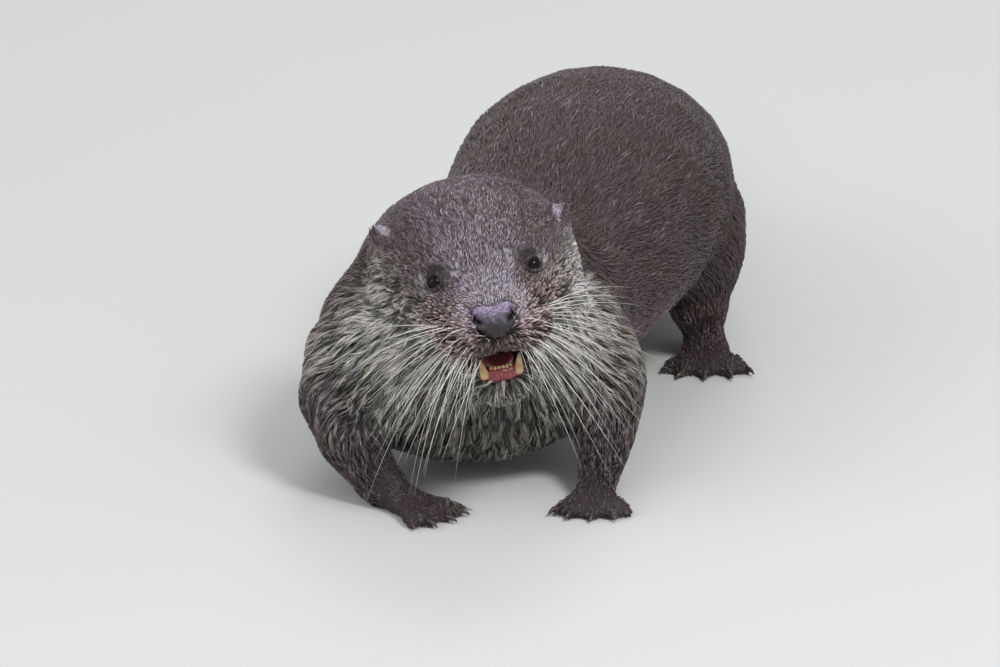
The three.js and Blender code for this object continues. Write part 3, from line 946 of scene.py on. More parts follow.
@dataclass
class CoatMap:
    """Answers, for any points of the otter, how the coat grows there and which way it runs."""

    head: HeadFrame
    spine_dip: float = 0.28
    nose_centre: Triple = (0.0, -68.0, -12.0)
    ear_way: Triple = (0.2, 0.3, 0.95)
    sharpness: float = 1.6
    swirls: tuple[tuple[float, float], ...] = ((0.16, 0.045), (0.10, 0.014))

    def __post_init__(self) -> None:
        """Puts the guides in their places and finds the spine and the feet."""
        places, reaches, lays, patches = [], [], [], []
        for guide in GUIDES:
            if guide.node:
                spots = [box_share(guide.node, guide.at)]
            else:
                x, y, z = guide.at
                signs = (1.0, -1.0) if guide.paired else (1.0,)
                spots = [self.head.world((x * sign, y, z)) for sign in signs]
            for spot in spots:
                places.append(spot)
                reaches.append(guide.reach * MM)
                lays.append(guide.lay)
                patches.append(PATCHES.index(guide.patch or guide.lay.patch))
        self.places, self.reaches = np.array(places), np.array(reaches)
        self.lays, self.patches = lays, np.array(patches)
        self.spine = np.array([box_centre(n) for n in SPINE_NODES])
        self.foot_middles = np.array([box_centre(f) for f in FEET])
        self.foot_headings = np.array([self.heading(f) for f in FEET])
        self.ear_middles = np.array([box_centre(f"ear_{s}") for s in SIDES])

    def heading(self, foot: str) -> Array:
        """The way a foot points: the long axis of its points in plan, away from its leg.

        Args:
            foot: The foot's CAD node.
        Returns:
            A level unit vector.
        """
        plan = node_surface(foot)[0][:, :2]
        axis = np.linalg.svd(plan - plan.mean(0), full_matrices=False)[2][0]
        leg = foot.replace("forefoot", "foreleg").replace("hindfoot", "thigh")
        forward = plan.mean(0) - box_centre(leg)[:2]
        if foot.startswith("forefoot"):
            axis = unit(forward)
        axis = axis if axis @ forward > 0 else -axis
        return unit(np.array([axis[0], axis[1], 0.0]))

    def shares(self, points: Array) -> Array:
        """How much each guide says at each point.

        That is the exponential of minus the square of its distance over its reach, as a share of the sum.

        Args:
            points: Points of the scene.
        Returns:
            One row of shares for each point.
        """
        power = np.empty((len(points), len(self.places)), np.float32)
        for k, (place, reach) in enumerate(zip(self.places, self.reaches)):
            power[:, k] = -(((points - place) / reach) ** 2).sum(1)
        power -= power.max(1, keepdims=True)
        share = np.exp(self.sharpness * power)
        return share / share.sum(1, keepdims=True)

    def amount(self, shares: Array, name: str) -> Array:
        """One number of the lays, blended at each point by its shares."""
        return shares @ np.array([getattr(lay, name) for lay in self.lays])

    def patch(self, shares: Array) -> Array:
        """The number of the coat piece that each point belongs to."""
        return self.patches[shares.argmax(1)]

    def spine_point(self, points: Array) -> tuple[Array, Array]:
        """The spine beside each point, and the way to the tail there.

        Args:
            points: Points of the scene.
        Returns:
            The nearest points of the spine by length along the body, and unit directions.
        """
        x, length, z = self.spine.T
        here, ahead, behind = (
            np.stack([np.interp(y, length, x), y, np.interp(y, length, z)], 1)
            for y in (points[:, 1] + step for step in (0.0, SPINE_STEP, -SPINE_STEP))
        )
        return here, unit(ahead - behind)

    def flow(self, points: Array, normals: Array, shares: Array) -> Array:
        """The way the coat runs at each point, lying in the skin.

        Args:
            points: Points of the scene.
            normals: The skin's normals there.
            shares: The guides' shares there.
        Returns:
            Unit vectors square to the normals.
        """
        from_nose = unit(points - self.head.world(self.nose_centre))
        _, along = self.spine_point(points)
        along = unit(along - self.spine_dip * UP * (1 - np.abs(normals[:, 2:3])))
        gap = np.linalg.norm(points[:, None] - self.foot_middles[None], axis=2)
        nearest = gap.argmin(1)
        down = unit(self.foot_middles[nearest] - points - 0.01 * UP)
        toes = self.foot_headings[nearest]
        inside = self.head.local(points)
        outward = np.tile(self.ear_way, (len(points), 1))
        outward[:, 0] *= np.sign(inside[:, 0])
        ear = unit(self.head.world(inside + outward) - points)
        ways = (from_nose, along, down, toes, ear)
        total = np.zeros_like(points)
        for lie, way in zip(Lie, ways):
            weight = shares[:, [k for k, lay in enumerate(self.lays) if lay.lie is lie]].sum(1)
            total += weight[:, None] * way
        total[:, 2] -= self.amount(shares, "hang")
        side = np.cross(normals, across(total, normals))
        waves = enumerate(self.swirls)
        swirl = sum(size * wander(points, pitch, SEED + 1 + k) for k, (size, pitch) in waves)
        return across(across(total, normals) + swirl[:, None] * side, normals)


# ---- the skin


@dataclass
class Eye:
    """One eye's place and gaze in the head's axes, shared by its ball, its lids and its socket."""

    side: float
    centre: Triple = (25.2, -33.0, 10.0)
    radius: float = 5.2
    gaze: Triple = (0.50, -0.80, 0.52)
    open_wide: float = 36.0
    open_tall: float = 40.0
    corner: float = 12.0
    slant: float = 16.0
    wrap: float = 0.45

    def place(self) -> Array:
        """The middle of the ball."""
        x, y, z = self.centre
        return np.array([x * self.side, y, z])

    def axes(self) -> Array:
        """The eye's axes.

        Returns:
            Three rows: towards the nose along the lids, up, and out along the gaze.
        """
        x, y, z = self.gaze
        out = unit(np.array([x * self.side, y, z]))
        inward = np.array([-self.side, -self.wrap, -math.tan(math.radians(self.slant))])
        inward = unit(inward - (inward @ out) * out)
        up = np.cross(out, inward) * self.side
        return np.stack([inward, up if up[2] > 0 else -up, out])

    def angles(self, points: Array) -> tuple[Array, Array, Array]:
        """Where points lie round the eye.

        Args:
            points: Points in the head's axes.
        Returns:
            The distance from the middle, the angle from the gaze in degrees, and the turn about it in
            radians, counted from the nose side.
        """
        rel = points - self.place()
        distance = np.linalg.norm(rel, axis=1)
        u, v, w = (unit(rel) @ self.axes().T).T
        return distance, np.degrees(np.arccos(np.clip(w, -1, 1))), np.arctan2(v, u)

    def opening(self, turn: Array) -> Array:
        """The angle from the gaze to the lid's edge: an ellipse, drawn out to a corner at each end.

        Args:
            turn: The turn about the gaze, from the nose side, in radians.
        Returns:
            Degrees from the gaze.
        """
        ellipse = 1 / np.hypot(np.cos(turn) / self.open_wide, np.sin(turn) / self.open_tall)
        by_nose = self.corner * bell(turn, 0.45)
        by_cheek = self.corner * 0.4 * bell(np.abs(turn) - math.pi, 0.4)
        return ellipse + by_nose + by_cheek


@dataclass(frozen=True)
class Spot:
    """A soft ellipsoid of the left side, in millimetres: its middle, half sizes, strength and push."""

    centre: Triple
    half: Triple
    amount: float = 1.0
    way: Triple = (0.0, 0.0, 0.0)

    def distance(self, q: Array, side: float = 1.0) -> Array:
        """How far points lie from the middle of the spot on one side, as a share of its half sizes."""
        x, y, z = self.centre
        return np.linalg.norm((q - (x * side, y, z)) / self.half, axis=1)

    def within(self, q: Array, side: float, low: float, high: float) -> Array:
        """The spot's amount at points: whole up to the low share of its size, nothing from the high one."""
        return self.amount * (1 - ramp(self.distance(q, side), low, high))

    def push(self, q: Array, side: float) -> Array:
        """How far the spot pushes points on one side."""
        way = np.array(self.way) * (side, 1, 1)
        return bell(self.distance(q, side), 1.0)[:, None] * way


# The dent by the eye's nose side, the brow, and the hollow under the eye.
EYE_PUSHES = (
    Spot((19.5, -40.0, 6.5), (6.0, 7.0, 6.0), way=(-1.1, 0.8, -0.5)),
    Spot((24.0, -33.0, 18.5), (9.0, 8.0, 3.4), way=(0.5, -1.5, 0.7)),
    Spot((29.0, -36.0, 2.0), (8.0, 8.0, 2.4), way=(-0.3, 0.9, 0.3)),
)
# Pale frosted spots, partly painted wet sheen, behind the eye, under it and on the bridge's side, and the
# dark brow over it.
FROST_AND_SHEEN_SPOTS = (
    Spot((32.0, -31.0, 10.5), (5.5, 7.0, 3.6), 0.9),
    Spot((29.0, -35.0, 4.5), (4.5, 6.0, 3.0), 0.45),
    Spot((13.5, -38.0, 15.5), (3.0, 9.0, 6.0), 0.75),
)
DARK_BROW = Spot((26.0, -33.0, 16.0), (9.0, 7.0, 3.2), 0.75)
# From an ear's middle: the flap, what is near it, its hollow, and the pale fur below it.
EAR_FLAP = Spot((0.0, 0.0, 0.0), (11.0, 6.5, 11.0))
NEAR_EAR = Spot((0.0, 0.0, 0.0), (11.0, 9.0, 11.5))
EAR_CUP = Spot((-1.0, -2.5, 0.5), (4.2, 4.0, 4.8))
BELOW_EAR = Spot((3.0, -6.0, -17.0), (8.0, 9.0, 9.0))
# The room between the jaws.
MOUTH_ROOM = Spot((0.0, -44.0, -32.3), (14.6, 29.0, 6.0))


class Marks(dict[str, Array]):
    """Markings at some points of the otter by their names, each from 0 to 1."""

    def lift(self, name: str, amount: Array) -> None:
        """Raises one marking to this amount wherever it is less."""
        self[name] = np.maximum(self[name], amount)


@dataclass
class Skin:
    """The one skin: copies of the flesh solids wrapped, smoothed and drawn in under the coat."""

    head: HeadFrame
    coat: CoatMap
    eyes: tuple[Eye, ...]
    pad: "NosePad"
    finish: SkinFinish = SkinFinish()
    pitch: float = 2.9
    overlap: float = 0.36
    smoothing: int = 9
    ear_reach: float = 13.0
    eye_reaches: tuple[float, float] = (14.0, 9.5)
    canine: Triple = (8.9, -47.0, -40.5)
    canine_clearance: float = 3.4
    bristled_skin: float = 0.15
    pad_dark_and_shade: float = 0.92
    head_level: tuple[float, float] = (60.0, 92.0)

    def ear_place(self, side: float) -> Array:
        """The middle of the ear on one side, in the head's axes."""
        return self.head.local(box_centre("ear_left" if side > 0 else "ear_right"))

    def near_ears(self, q: Array, reach: float) -> Array:
        """Which points, in the head's axes, lie within this reach of an ear's middle."""
        return np.minimum(*(np.linalg.norm(q - self.ear_place(s), axis=1) for s in (1.0, -1.0))) < reach

    def flesh(self) -> tuple[Array, Array]:
        """The flesh solids, each swollen a little so that their cuts close.

        Returns:
            Points and triangles of all of them, overlapping.
        """
        points, faces, start = [], [], 0
        for node in FLESH + SOCKET_FILLERS:
            p, f = node_surface(node)
            if node == "lower_jaw":
                p = self.without_teeth(p)
            p = p + point_normals(p, f) * self.overlap * MM
            points.append(p)
            faces.append(f + start)
            start += len(p)
        return np.vstack(points), np.vstack(faces)

    def without_teeth(self, points: Array) -> Array:
        """The jaw with its canines pressed down to the gum.

        Args:
            points: The jaw's points in the scene.
        Returns:
            The moved points.
        """
        q = self.head.local(points)
        x, y, z = self.canine
        near = np.hypot(np.abs(q[:, 0]) - x, q[:, 1] - y) < self.canine_clearance
        q[near & (q[:, 2] > z), 2] = z
        return self.head.world(q)

    def wrapped(self) -> Mesh:
        """One closed surface round all the solids, on a cubic grid of one pitch.

        Returns:
            The wrap.
        """
        points, faces = self.flesh()
        holder = bpy.data.objects.new("solids", new_mesh("solids", points, faces))
        bpy.context.scene.collection.objects.link(holder)
        wrap = holder.modifiers.new("wrap", "REMESH")
        wrap.mode = "VOXEL"
        wrap.voxel_size = self.pitch * MM
        view = bpy.context.evaluated_depsgraph_get()
        mesh = bpy.data.meshes.new_from_object(holder.evaluated_get(view))
        bpy.data.objects.remove(holder)
        return mesh

    def refined(self, mesh: Mesh) -> tuple[Array, Mesh]:
        """The wrap smoothed, then divided more finely over the head, the face, and the lids and lips.

        Args:
            mesh: The wrap.
        Returns:
            The points in metres, and the mesh with their faces.
        """
        points, edges = read_all(mesh.vertices, "co", 3), read_all(mesh.edges, "vertices", 2, np.int32)
        q = self.head.local(points)
        points = relaxed(points, edges, self.smoothing, np.where(self.near_ears(q, 12.0), 0.5, 0.55))
        mesh.vertices.foreach_set("co", points.astype(np.float32).ravel())
        self.divide(mesh)
        points, edges = read_all(mesh.vertices, "co", 3), read_all(mesh.edges, "vertices", 2, np.int32)
        q = self.head.local(points)
        points = relaxed(points, edges, 5, 0.5 * self.detail(q, 0))
        return relaxed(points, edges, 22, 0.5 * self.near_ears(q, self.ear_reach)), mesh

    def divide(self, mesh: Mesh) -> None:
        """Cuts the mesh's edges in half in three rounds, each within a smaller region.

        Args:
            mesh: The wrap, which is changed.
        """
        work = bmesh.new()
        work.from_mesh(mesh)
        for level in range(3):
            ends = np.array([[e.verts[0].index, e.verts[1].index] for e in work.edges])
            place = self.head.local(np.array([v.co for v in work.verts]))
            chosen = self.detail(place, level)[ends].all(1)
            work.edges.ensure_lookup_table()
            edges = [work.edges[i] for i in np.flatnonzero(chosen)]
            bmesh.ops.subdivide_edges(work, edges=edges, cuts=1, use_grid_fill=True)
            work.verts.index_update()
            work.edges.index_update()
        bmesh.ops.triangulate(work, faces=[f for f in work.faces if len(f.verts) > 4])
        work.to_mesh(mesh)
        work.free()

    def detail(self, q: Array, level: int) -> Array:
        """Where the mesh is divided in one round: the head, then the face and ears, then the lids and lips.

        Args:
            q: Points in the head's axes.
            level: The round, from 0 to 2.
        Returns:
            Which points lie there.
        """
        if level == 0:
            return (q[:, 1] < 36) & (q[:, 2] > -74) & (np.linalg.norm(q, axis=1) < 92)
        near_eyes = np.zeros(len(q), bool)
        for eye in self.eyes:
            near_eyes |= np.linalg.norm(q - eye.place(), axis=1) < self.eye_reaches[level - 1]
        if level == 1:
            return (near_eyes | self.near_ears(q, self.ear_reach) | (q[:, 1] < -42)) & (q[:, 2] > -52)
        lips = (q[:, 1] < -46) & (q[:, 2] > -47) & (q[:, 2] < -26) & (np.abs(q[:, 0]) < 18)
        return near_eyes | lips

    def drawn_in(self, points: Array, normals: Array) -> Array:
        """The skin moved inward by the coat's depth, while the soles stay on the floor.

        Args:
            points: The skin's points.
            normals: Its normals.
        Returns:
            The moved points.
        """
        depth = self.coat.amount(self.coat.shares(points), "depth") * MM
        sole = ramp(-normals[:, 2], 0.35, 0.8) * (1 - ramp(points[:, 2], 0.003, 0.008))
        depth = depth * (1 - sole)
        points = points - normals * depth[:, None]
        flat = (points[:, 2] < 0.0016) & (normals[:, 2] < -0.5)
        points[flat, 2] = 0.0
        points[:, 2] = np.maximum(points[:, 2], 0.0)
        return points

    def sculpted(self, q: Array) -> Array:
        """The face's modelling: sockets, lids, ears and muzzle.

        Args:
            q: Points in the head's axes.
        Returns:
            The moved points.
        """
        q = q.copy()
        for eye in self.eyes:
            for spot in EYE_PUSHES:
                q += spot.push(q, eye.side)
            q = self.lidded(q, eye)
            q = self.eared(q, eye.side)
        return self.muzzled(q)

    def muzzled(self, q: Array) -> Array:
        """The muzzle's modelling: the skin behind the nose pad, the groove below it, and the two lips.

        Args:
            q: Points in the head's axes, which are moved.
        Returns:
            The same points.
        """
        q[:, 1] += 5.5 * (1 - ramp(self.pad.share_at(q), 0.80, 0.98)) * (q[:, 1] < -50)
        down, ahead, aside = -q[:, 2], -q[:, 1], np.abs(q[:, 0])
        groove = bell(q[:, 0], 1.5) * ramp(ahead, 52, 60) * ramp(down, 13, 18) * (1 - ramp(down, 31, 36))
        q[:, 1] += 1.6 * groove
        upper = bell(q[:, 2] + 28.0, 2.4) * ramp(-q[:, 1], 40, 50) * (1 - ramp(aside, 22, 30))
        q[:, 1] -= 1.0 * upper
        q[:, 2] -= 1.0 * upper
        lower = bell(q[:, 2] + 43.0, 3.4) * ramp(-q[:, 1], 36, 47) * (1 - ramp(aside, 13, 21))
        q[:, 1] -= 2.0 * lower
        q[:, 2] += 3.6 * lower
        return q

    def eared(self, q: Array, side: float) -> Array:
        """One ear, pushed out along its flap and hollowed in front by a bell-shaped cup.

        Args:
            q: Points in the head's axes.
            side: 1 for the left ear, -1 for the right.
        Returns:
            The moved points.
        """
        rel = q - self.ear_place(side)
        out = unit(np.array([0.45 * side, 0.10, 0.88]))
        height = rel @ out
        near = EAR_FLAP.within(rel, side, 0.8, 1.15) * ramp(height, -3.0, 5.0)
        q = q + (near * 1.8)[:, None] * out
        thin = near * ramp(height, 0.0, 6.0)
        q[:, 1] += thin * np.where(rel[:, 1] < 0, 0.8, -0.3)
        q[:, 1] += 2.0 * bell(EAR_CUP.distance(rel, side), 1.0)
        return q

    def lidded(self, q: Array, eye: Eye) -> Array:
        """The skin round one eye shaped into lids.

        Inside the opening it lies behind the ball, over the lids a lid's thickness outside the ball, less
        the fold, and further out it goes over to the face.

        Args:
            q: Points in the head's axes.
            eye: The eye.
        Returns:
            The moved points.
        """
        distance, angle, turn = eye.angles(q)
        inner, lid = eye.radius - 1.8, eye.radius + 0.8
        past = angle - eye.opening(turn)
        fold = 0.45 * bell(past - 24, 6.0) * (0.35 + 0.65 * (np.sin(turn) > -0.2))
        swell = 0.28 * bell(past - 9, 7.0)
        radius = inner + (lid - inner) * ramp(past, -5.0, 4.0) + swell - fold
        weight = (1 - ramp(angle, 62, 96)) * (1 - ramp(distance, 9.0, 13.0))
        moved = eye.place() + unit(q - eye.place()) * radius[:, None]
        return q + weight[:, None] * (moved - q)

    def markings(self, points: Array, shares: Array) -> Marks:
        """The markings that skin and coat both carry, each from 0 to 1.

        Args:
            points: Points of the scene.
            shares: The guides' shares there.
        Returns:
            The amounts of each marking, by name.
        """
        q = self.head.local(points)
        marks = Marks()
        for name in ("pale", "frost_and_sheen", "bristle", "gap", "bare", "dark_and_shade"):
            marks[name] = np.zeros(len(q)) if name == "bare" else self.coat.amount(shares, name)
        marks["pale"] = np.clip(marks["pale"] * (1 + 0.25 * wander(points, 0.03, SEED + 3)), 0, 1)
        marks["stay"] = np.ones(len(q))
        for eye in self.eyes:
            self.mark_eye(marks, q, eye)
            self.mark_ear(marks, q, eye.side)
        self.mark_mouth(marks, q)
        marks.lift("bare", 1 - ramp(points[:, 2], 0.001, 0.003))
        marks["dark_and_shade"] = marks["dark_and_shade"] * marks.pop("stay")
        return marks

    def mark_eye(self, marks: Marks, q: Array, eye: Eye) -> None:
        """Adds one eye's markings: bare lids in a dark ring, pale spots where less darkening stays, a dark
        brow.

        Args:
            marks: The markings, which are changed.
            q: Their points in the head's axes.
            eye: The eye.
        """
        distance, angle, turn = eye.angles(q)
        past = angle - eye.opening(turn)
        near = 1 - ramp(distance, 8.0, 11.0)
        marks.lift("bare", near * (1 - ramp(past, 3, 10)))
        marks.lift("dark_and_shade", 0.95 * near * (1 - ramp(past, 3, 16)))
        for spot in FROST_AND_SHEEN_SPOTS:
            patch = spot.within(q, eye.side, 0.6, 1.2) * ramp(past, 2, 6)
            marks.lift("frost_and_sheen", patch)
            marks.lift("pale", 0.5 * patch)
            marks["stay"] = marks["stay"] * (1 - 0.8 * patch)
        marks.lift("dark_and_shade", DARK_BROW.within(q, eye.side, 0.5, 1.2))

    def mark_ear(self, marks: Marks, q: Array, side: float) -> None:
        """Adds one ear's markings: a frosted band along its rim, partly painted sheen, darkening round it
        and pale fur below.

        Args:
            marks: The markings, which are changed.
            q: Their points in the head's axes.
            side: 1 for the left ear, -1 for the right.
        """
        rel = q - self.ear_place(side)
        out, up = side * (rel[:, 0] + 2.2 * side), rel[:, 2] - 3.2
        lengthwise, crosswise = -0.6 * out - 0.8 * up, -0.8 * out + 0.6 * up
        band = (1 - ramp(np.hypot(lengthwise / 7.5, crosswise / 3.4), 0.6, 1.15)) * (rel[:, 1] < 5)
        near = NEAR_EAR.within(rel, side, 0.8, 1.3)
        marks.lift("frost_and_sheen", band * near)
        marks.lift("pale", 0.4 * band * near)
        marks.lift("dark_and_shade", 0.45 * near * (1 - band))
        below = BELOW_EAR.within(rel, side, 0.5, 1.2)
        marks.lift("pale", 0.95 * below)
        marks["stay"] = marks["stay"] * (1 - 0.8 * below)

    def mark_mouth(self, marks: Marks, q: Array) -> None:
        """Adds the bare rim under the nose pad, the lips, and the inside of the mouth painted dark red-brown
        as shade, with painted shade round it.

        Args:
            marks: The markings, which are changed.
            q: Their points in the head's axes.
        """
        rim = np.where(q[:, 1] < -54, self.pad.share_at(q), 9.0)
        inside = MOUTH_ROOM.distance(q)
        marks.lift("bare", 1 - ramp(rim, 0.93, 0.98))
        marks.lift("bare", 1 - ramp(inside, 1.02, 1.12))
        # Painted shade round and inside the mouth.
        marks.lift("dark_and_shade", 0.8 * (1 - ramp(inside, 1.06, 1.22)))
        marks["mouth"] = 1 - ramp(inside, 0.98, 1.06)

    def build(self) -> Object:
        """Builds the skin and keeps its points, triangles and normals for the coat.

        Returns:
            The piece.
        """
        points, mesh = self.refined(self.wrapped())
        faces = triangles_of(mesh)
        points = self.drawn_in(points, point_normals(points, faces))
        near = self.head.local(points)[:, 1] < 40
        points[near] = self.head.world(self.sculpted(self.head.local(points[near])))
        mesh.vertices.foreach_set("co", points.astype(np.float32).ravel())
        mesh.polygons.foreach_set("use_smooth", np.ones(len(mesh.polygons), bool))
        mesh.update()
        self.points, self.faces = points, faces
        self.normals = point_normals(points, faces)
        self.shares = self.coat.shares(points)
        marks = self.markings(points, self.shares)
        self.bare = marks["bare"]
        # Painted shade on the pad's skin between the bristles, over the pad's own dark brown.
        marks.lift("dark_and_shade", self.pad_dark_and_shade * marks["bristle"])
        marks["bristle"] = self.bristled_skin * marks["bristle"]
        for name, values in marks.items():
            give(mesh, name, values)
        self.streak_coordinates(mesh)
        mesh.name = "skin"
        return new_piece(mesh, self.finish.material(), FLESH)

    def streak_coordinates(self, mesh: Mesh) -> None:
        """Stores how far round and how far along each point lies, so that noise on the two makes streaks.

        Lengths along are pressed to a tenth, so the noise draws out along the coat.

        Args:
            mesh: The skin.
        """
        here, _ = self.coat.spine_point(self.points)
        rel = self.points - here
        q = self.head.local(self.points)
        give(mesh, "round_body", np.arctan2(rel[:, 0], rel[:, 2]) * 0.06)
        give(mesh, "along_body", self.points[:, 1] / 12)
        give(mesh, "round_head", np.arctan2(q[:, 0], q[:, 2] + 20) * 0.03)
        give(mesh, "along_head", np.linalg.norm(q - (0, -66, -10), axis=1) * MM / 10)
        give(mesh, "on_head", 1 - ramp(q[:, 1], *self.head_level))


@dataclass
class Lattice:
    """The nearest point of the skin for any point close to it, looked up in a grid of small cells."""

    points: Array
    normals: Array
    cell: float = 2.5 * MM
    growth: int = 5

    def __post_init__(self) -> None:
        """Fills the cells that the skin crosses, then their empty neighbours, shell after shell."""
        margin = (self.growth + 2) * self.cell
        self.low = self.points.min(0) - margin
        shape = np.ceil((self.points.max(0) + margin - self.low) / self.cell).astype(int) + 1
        grid = np.full(shape, -1, np.int32)
        at = ((self.points - self.low) / self.cell).astype(int)
        grid[at[:, 0], at[:, 1], at[:, 2]] = np.arange(len(self.points))
        for _ in range(self.growth):
            for axis in range(3):
                for step in (1, -1):
                    moved = np.roll(grid, step, axis)
                    grid = np.where(grid < 0, moved, grid)
        self.grid = grid

    def above(self, points: Array, fallback: Array) -> tuple[Array, Array]:
        """How high points stand over the skin, and its normals there.

        Args:
            points: Points of the scene.
            fallback: For each point, the skin point to use where the grid has none.
        Returns:
            Heights in metres, and unit normals.
        """
        at = ((points - self.low) / self.cell).astype(int)
        at = np.clip(at, 0, np.array(self.grid.shape) - 1)
        index = self.grid[at[:, 0], at[:, 1], at[:, 2]]
        index = np.where(index < 0, fallback, index)
        wrong = (self.normals[index] * self.normals[fallback]).sum(1) < 0.2
        index = np.where(wrong, fallback, index)
        normals = self.normals[index]
        return ((points - self.points[index]) * normals).sum(1), normals


# ---- the coat


@dataclass(frozen=True)
class StrandForm:
    """A strand's stations, and the girth of the ring of three points at all but the last, its tip."""

    stations: tuple[float, ...]
    girth: tuple[float, ...]

    def rings(self) -> int:
        """How many rings it has."""
        return len(self.girth)

    def size(self) -> int:
        """How many points it has."""
        return 3 * self.rings() + 1

    def faces(self) -> Array:
        """The triangles of one closed strand.

        Returns:
            Triples of its points.
        """
        faces = [[0, 1, 2]]
        for start in range(0, 3 * self.rings() - 3, 3):
            for a in range(3):
                b = (a + 1) % 3
                faces += [[start + b, start + a, start + 3 + a], [start + b, start + 3 + a, start + 3 + b]]
        top = 3 * self.rings() - 3
        faces += [[top + (a + 1) % 3, top + a, self.size() - 1] for a in range(3)]
        return np.array(faces)


SHORT = StrandForm((0.0, 0.5, 1.0), (0.8, 1.0))
LONG = StrandForm((0.0, 0.34, 0.72, 1.0), (0.75, 1.0, 0.62))


@dataclass(frozen=True)
class PatchPlan:
    """How many locks a piece of the coat has, how many strands a lock, and how it is laid out flat."""

    patch: Patch
    locks: int
    strands: int
    form: StrandForm
    slot: str = "brown_coat"
    flat: str = "body"


PLANS = (
    PatchPlan(Patch.FACE, 8000, 1, SHORT, flat="head"),
    PatchPlan(Patch.CROWN, 18500, 1, SHORT, flat="head"),
    PatchPlan(Patch.CHEEKS, 1100, 8, LONG, "pale_coat", "head"),
    PatchPlan(Patch.THROAT, 1300, 8, LONG, "pale_coat", "head"),
    PatchPlan(Patch.BREAST, 1100, 8, LONG, "pale_coat"),
    PatchPlan(Patch.SHOULDERS, 14000, 1, SHORT),
    PatchPlan(Patch.LOINS, 19500, 1, SHORT),
    PatchPlan(Patch.RUMP, 19500, 1, SHORT),
    PatchPlan(Patch.TAIL, 9000, 1, SHORT),
    PatchPlan(Patch.LEGS, 4500, 2, SHORT, "foot_coat", "limbs"),
    PatchPlan(Patch.FEET, 7000, 1, SHORT, "foot_coat", "limbs"),
)


@dataclass
class Strands:
    """The strands of one piece: their roots and looks, and in metres their places in the locks and sizes."""

    roots: Array
    normals: Array
    beside: Array
    shares: Array
    flow: Array
    look: dict[str, Array]
    tone: Array
    turn: Array
    radius: Array
    length: Array
    width: Array
    rise: Array
    lean: Array


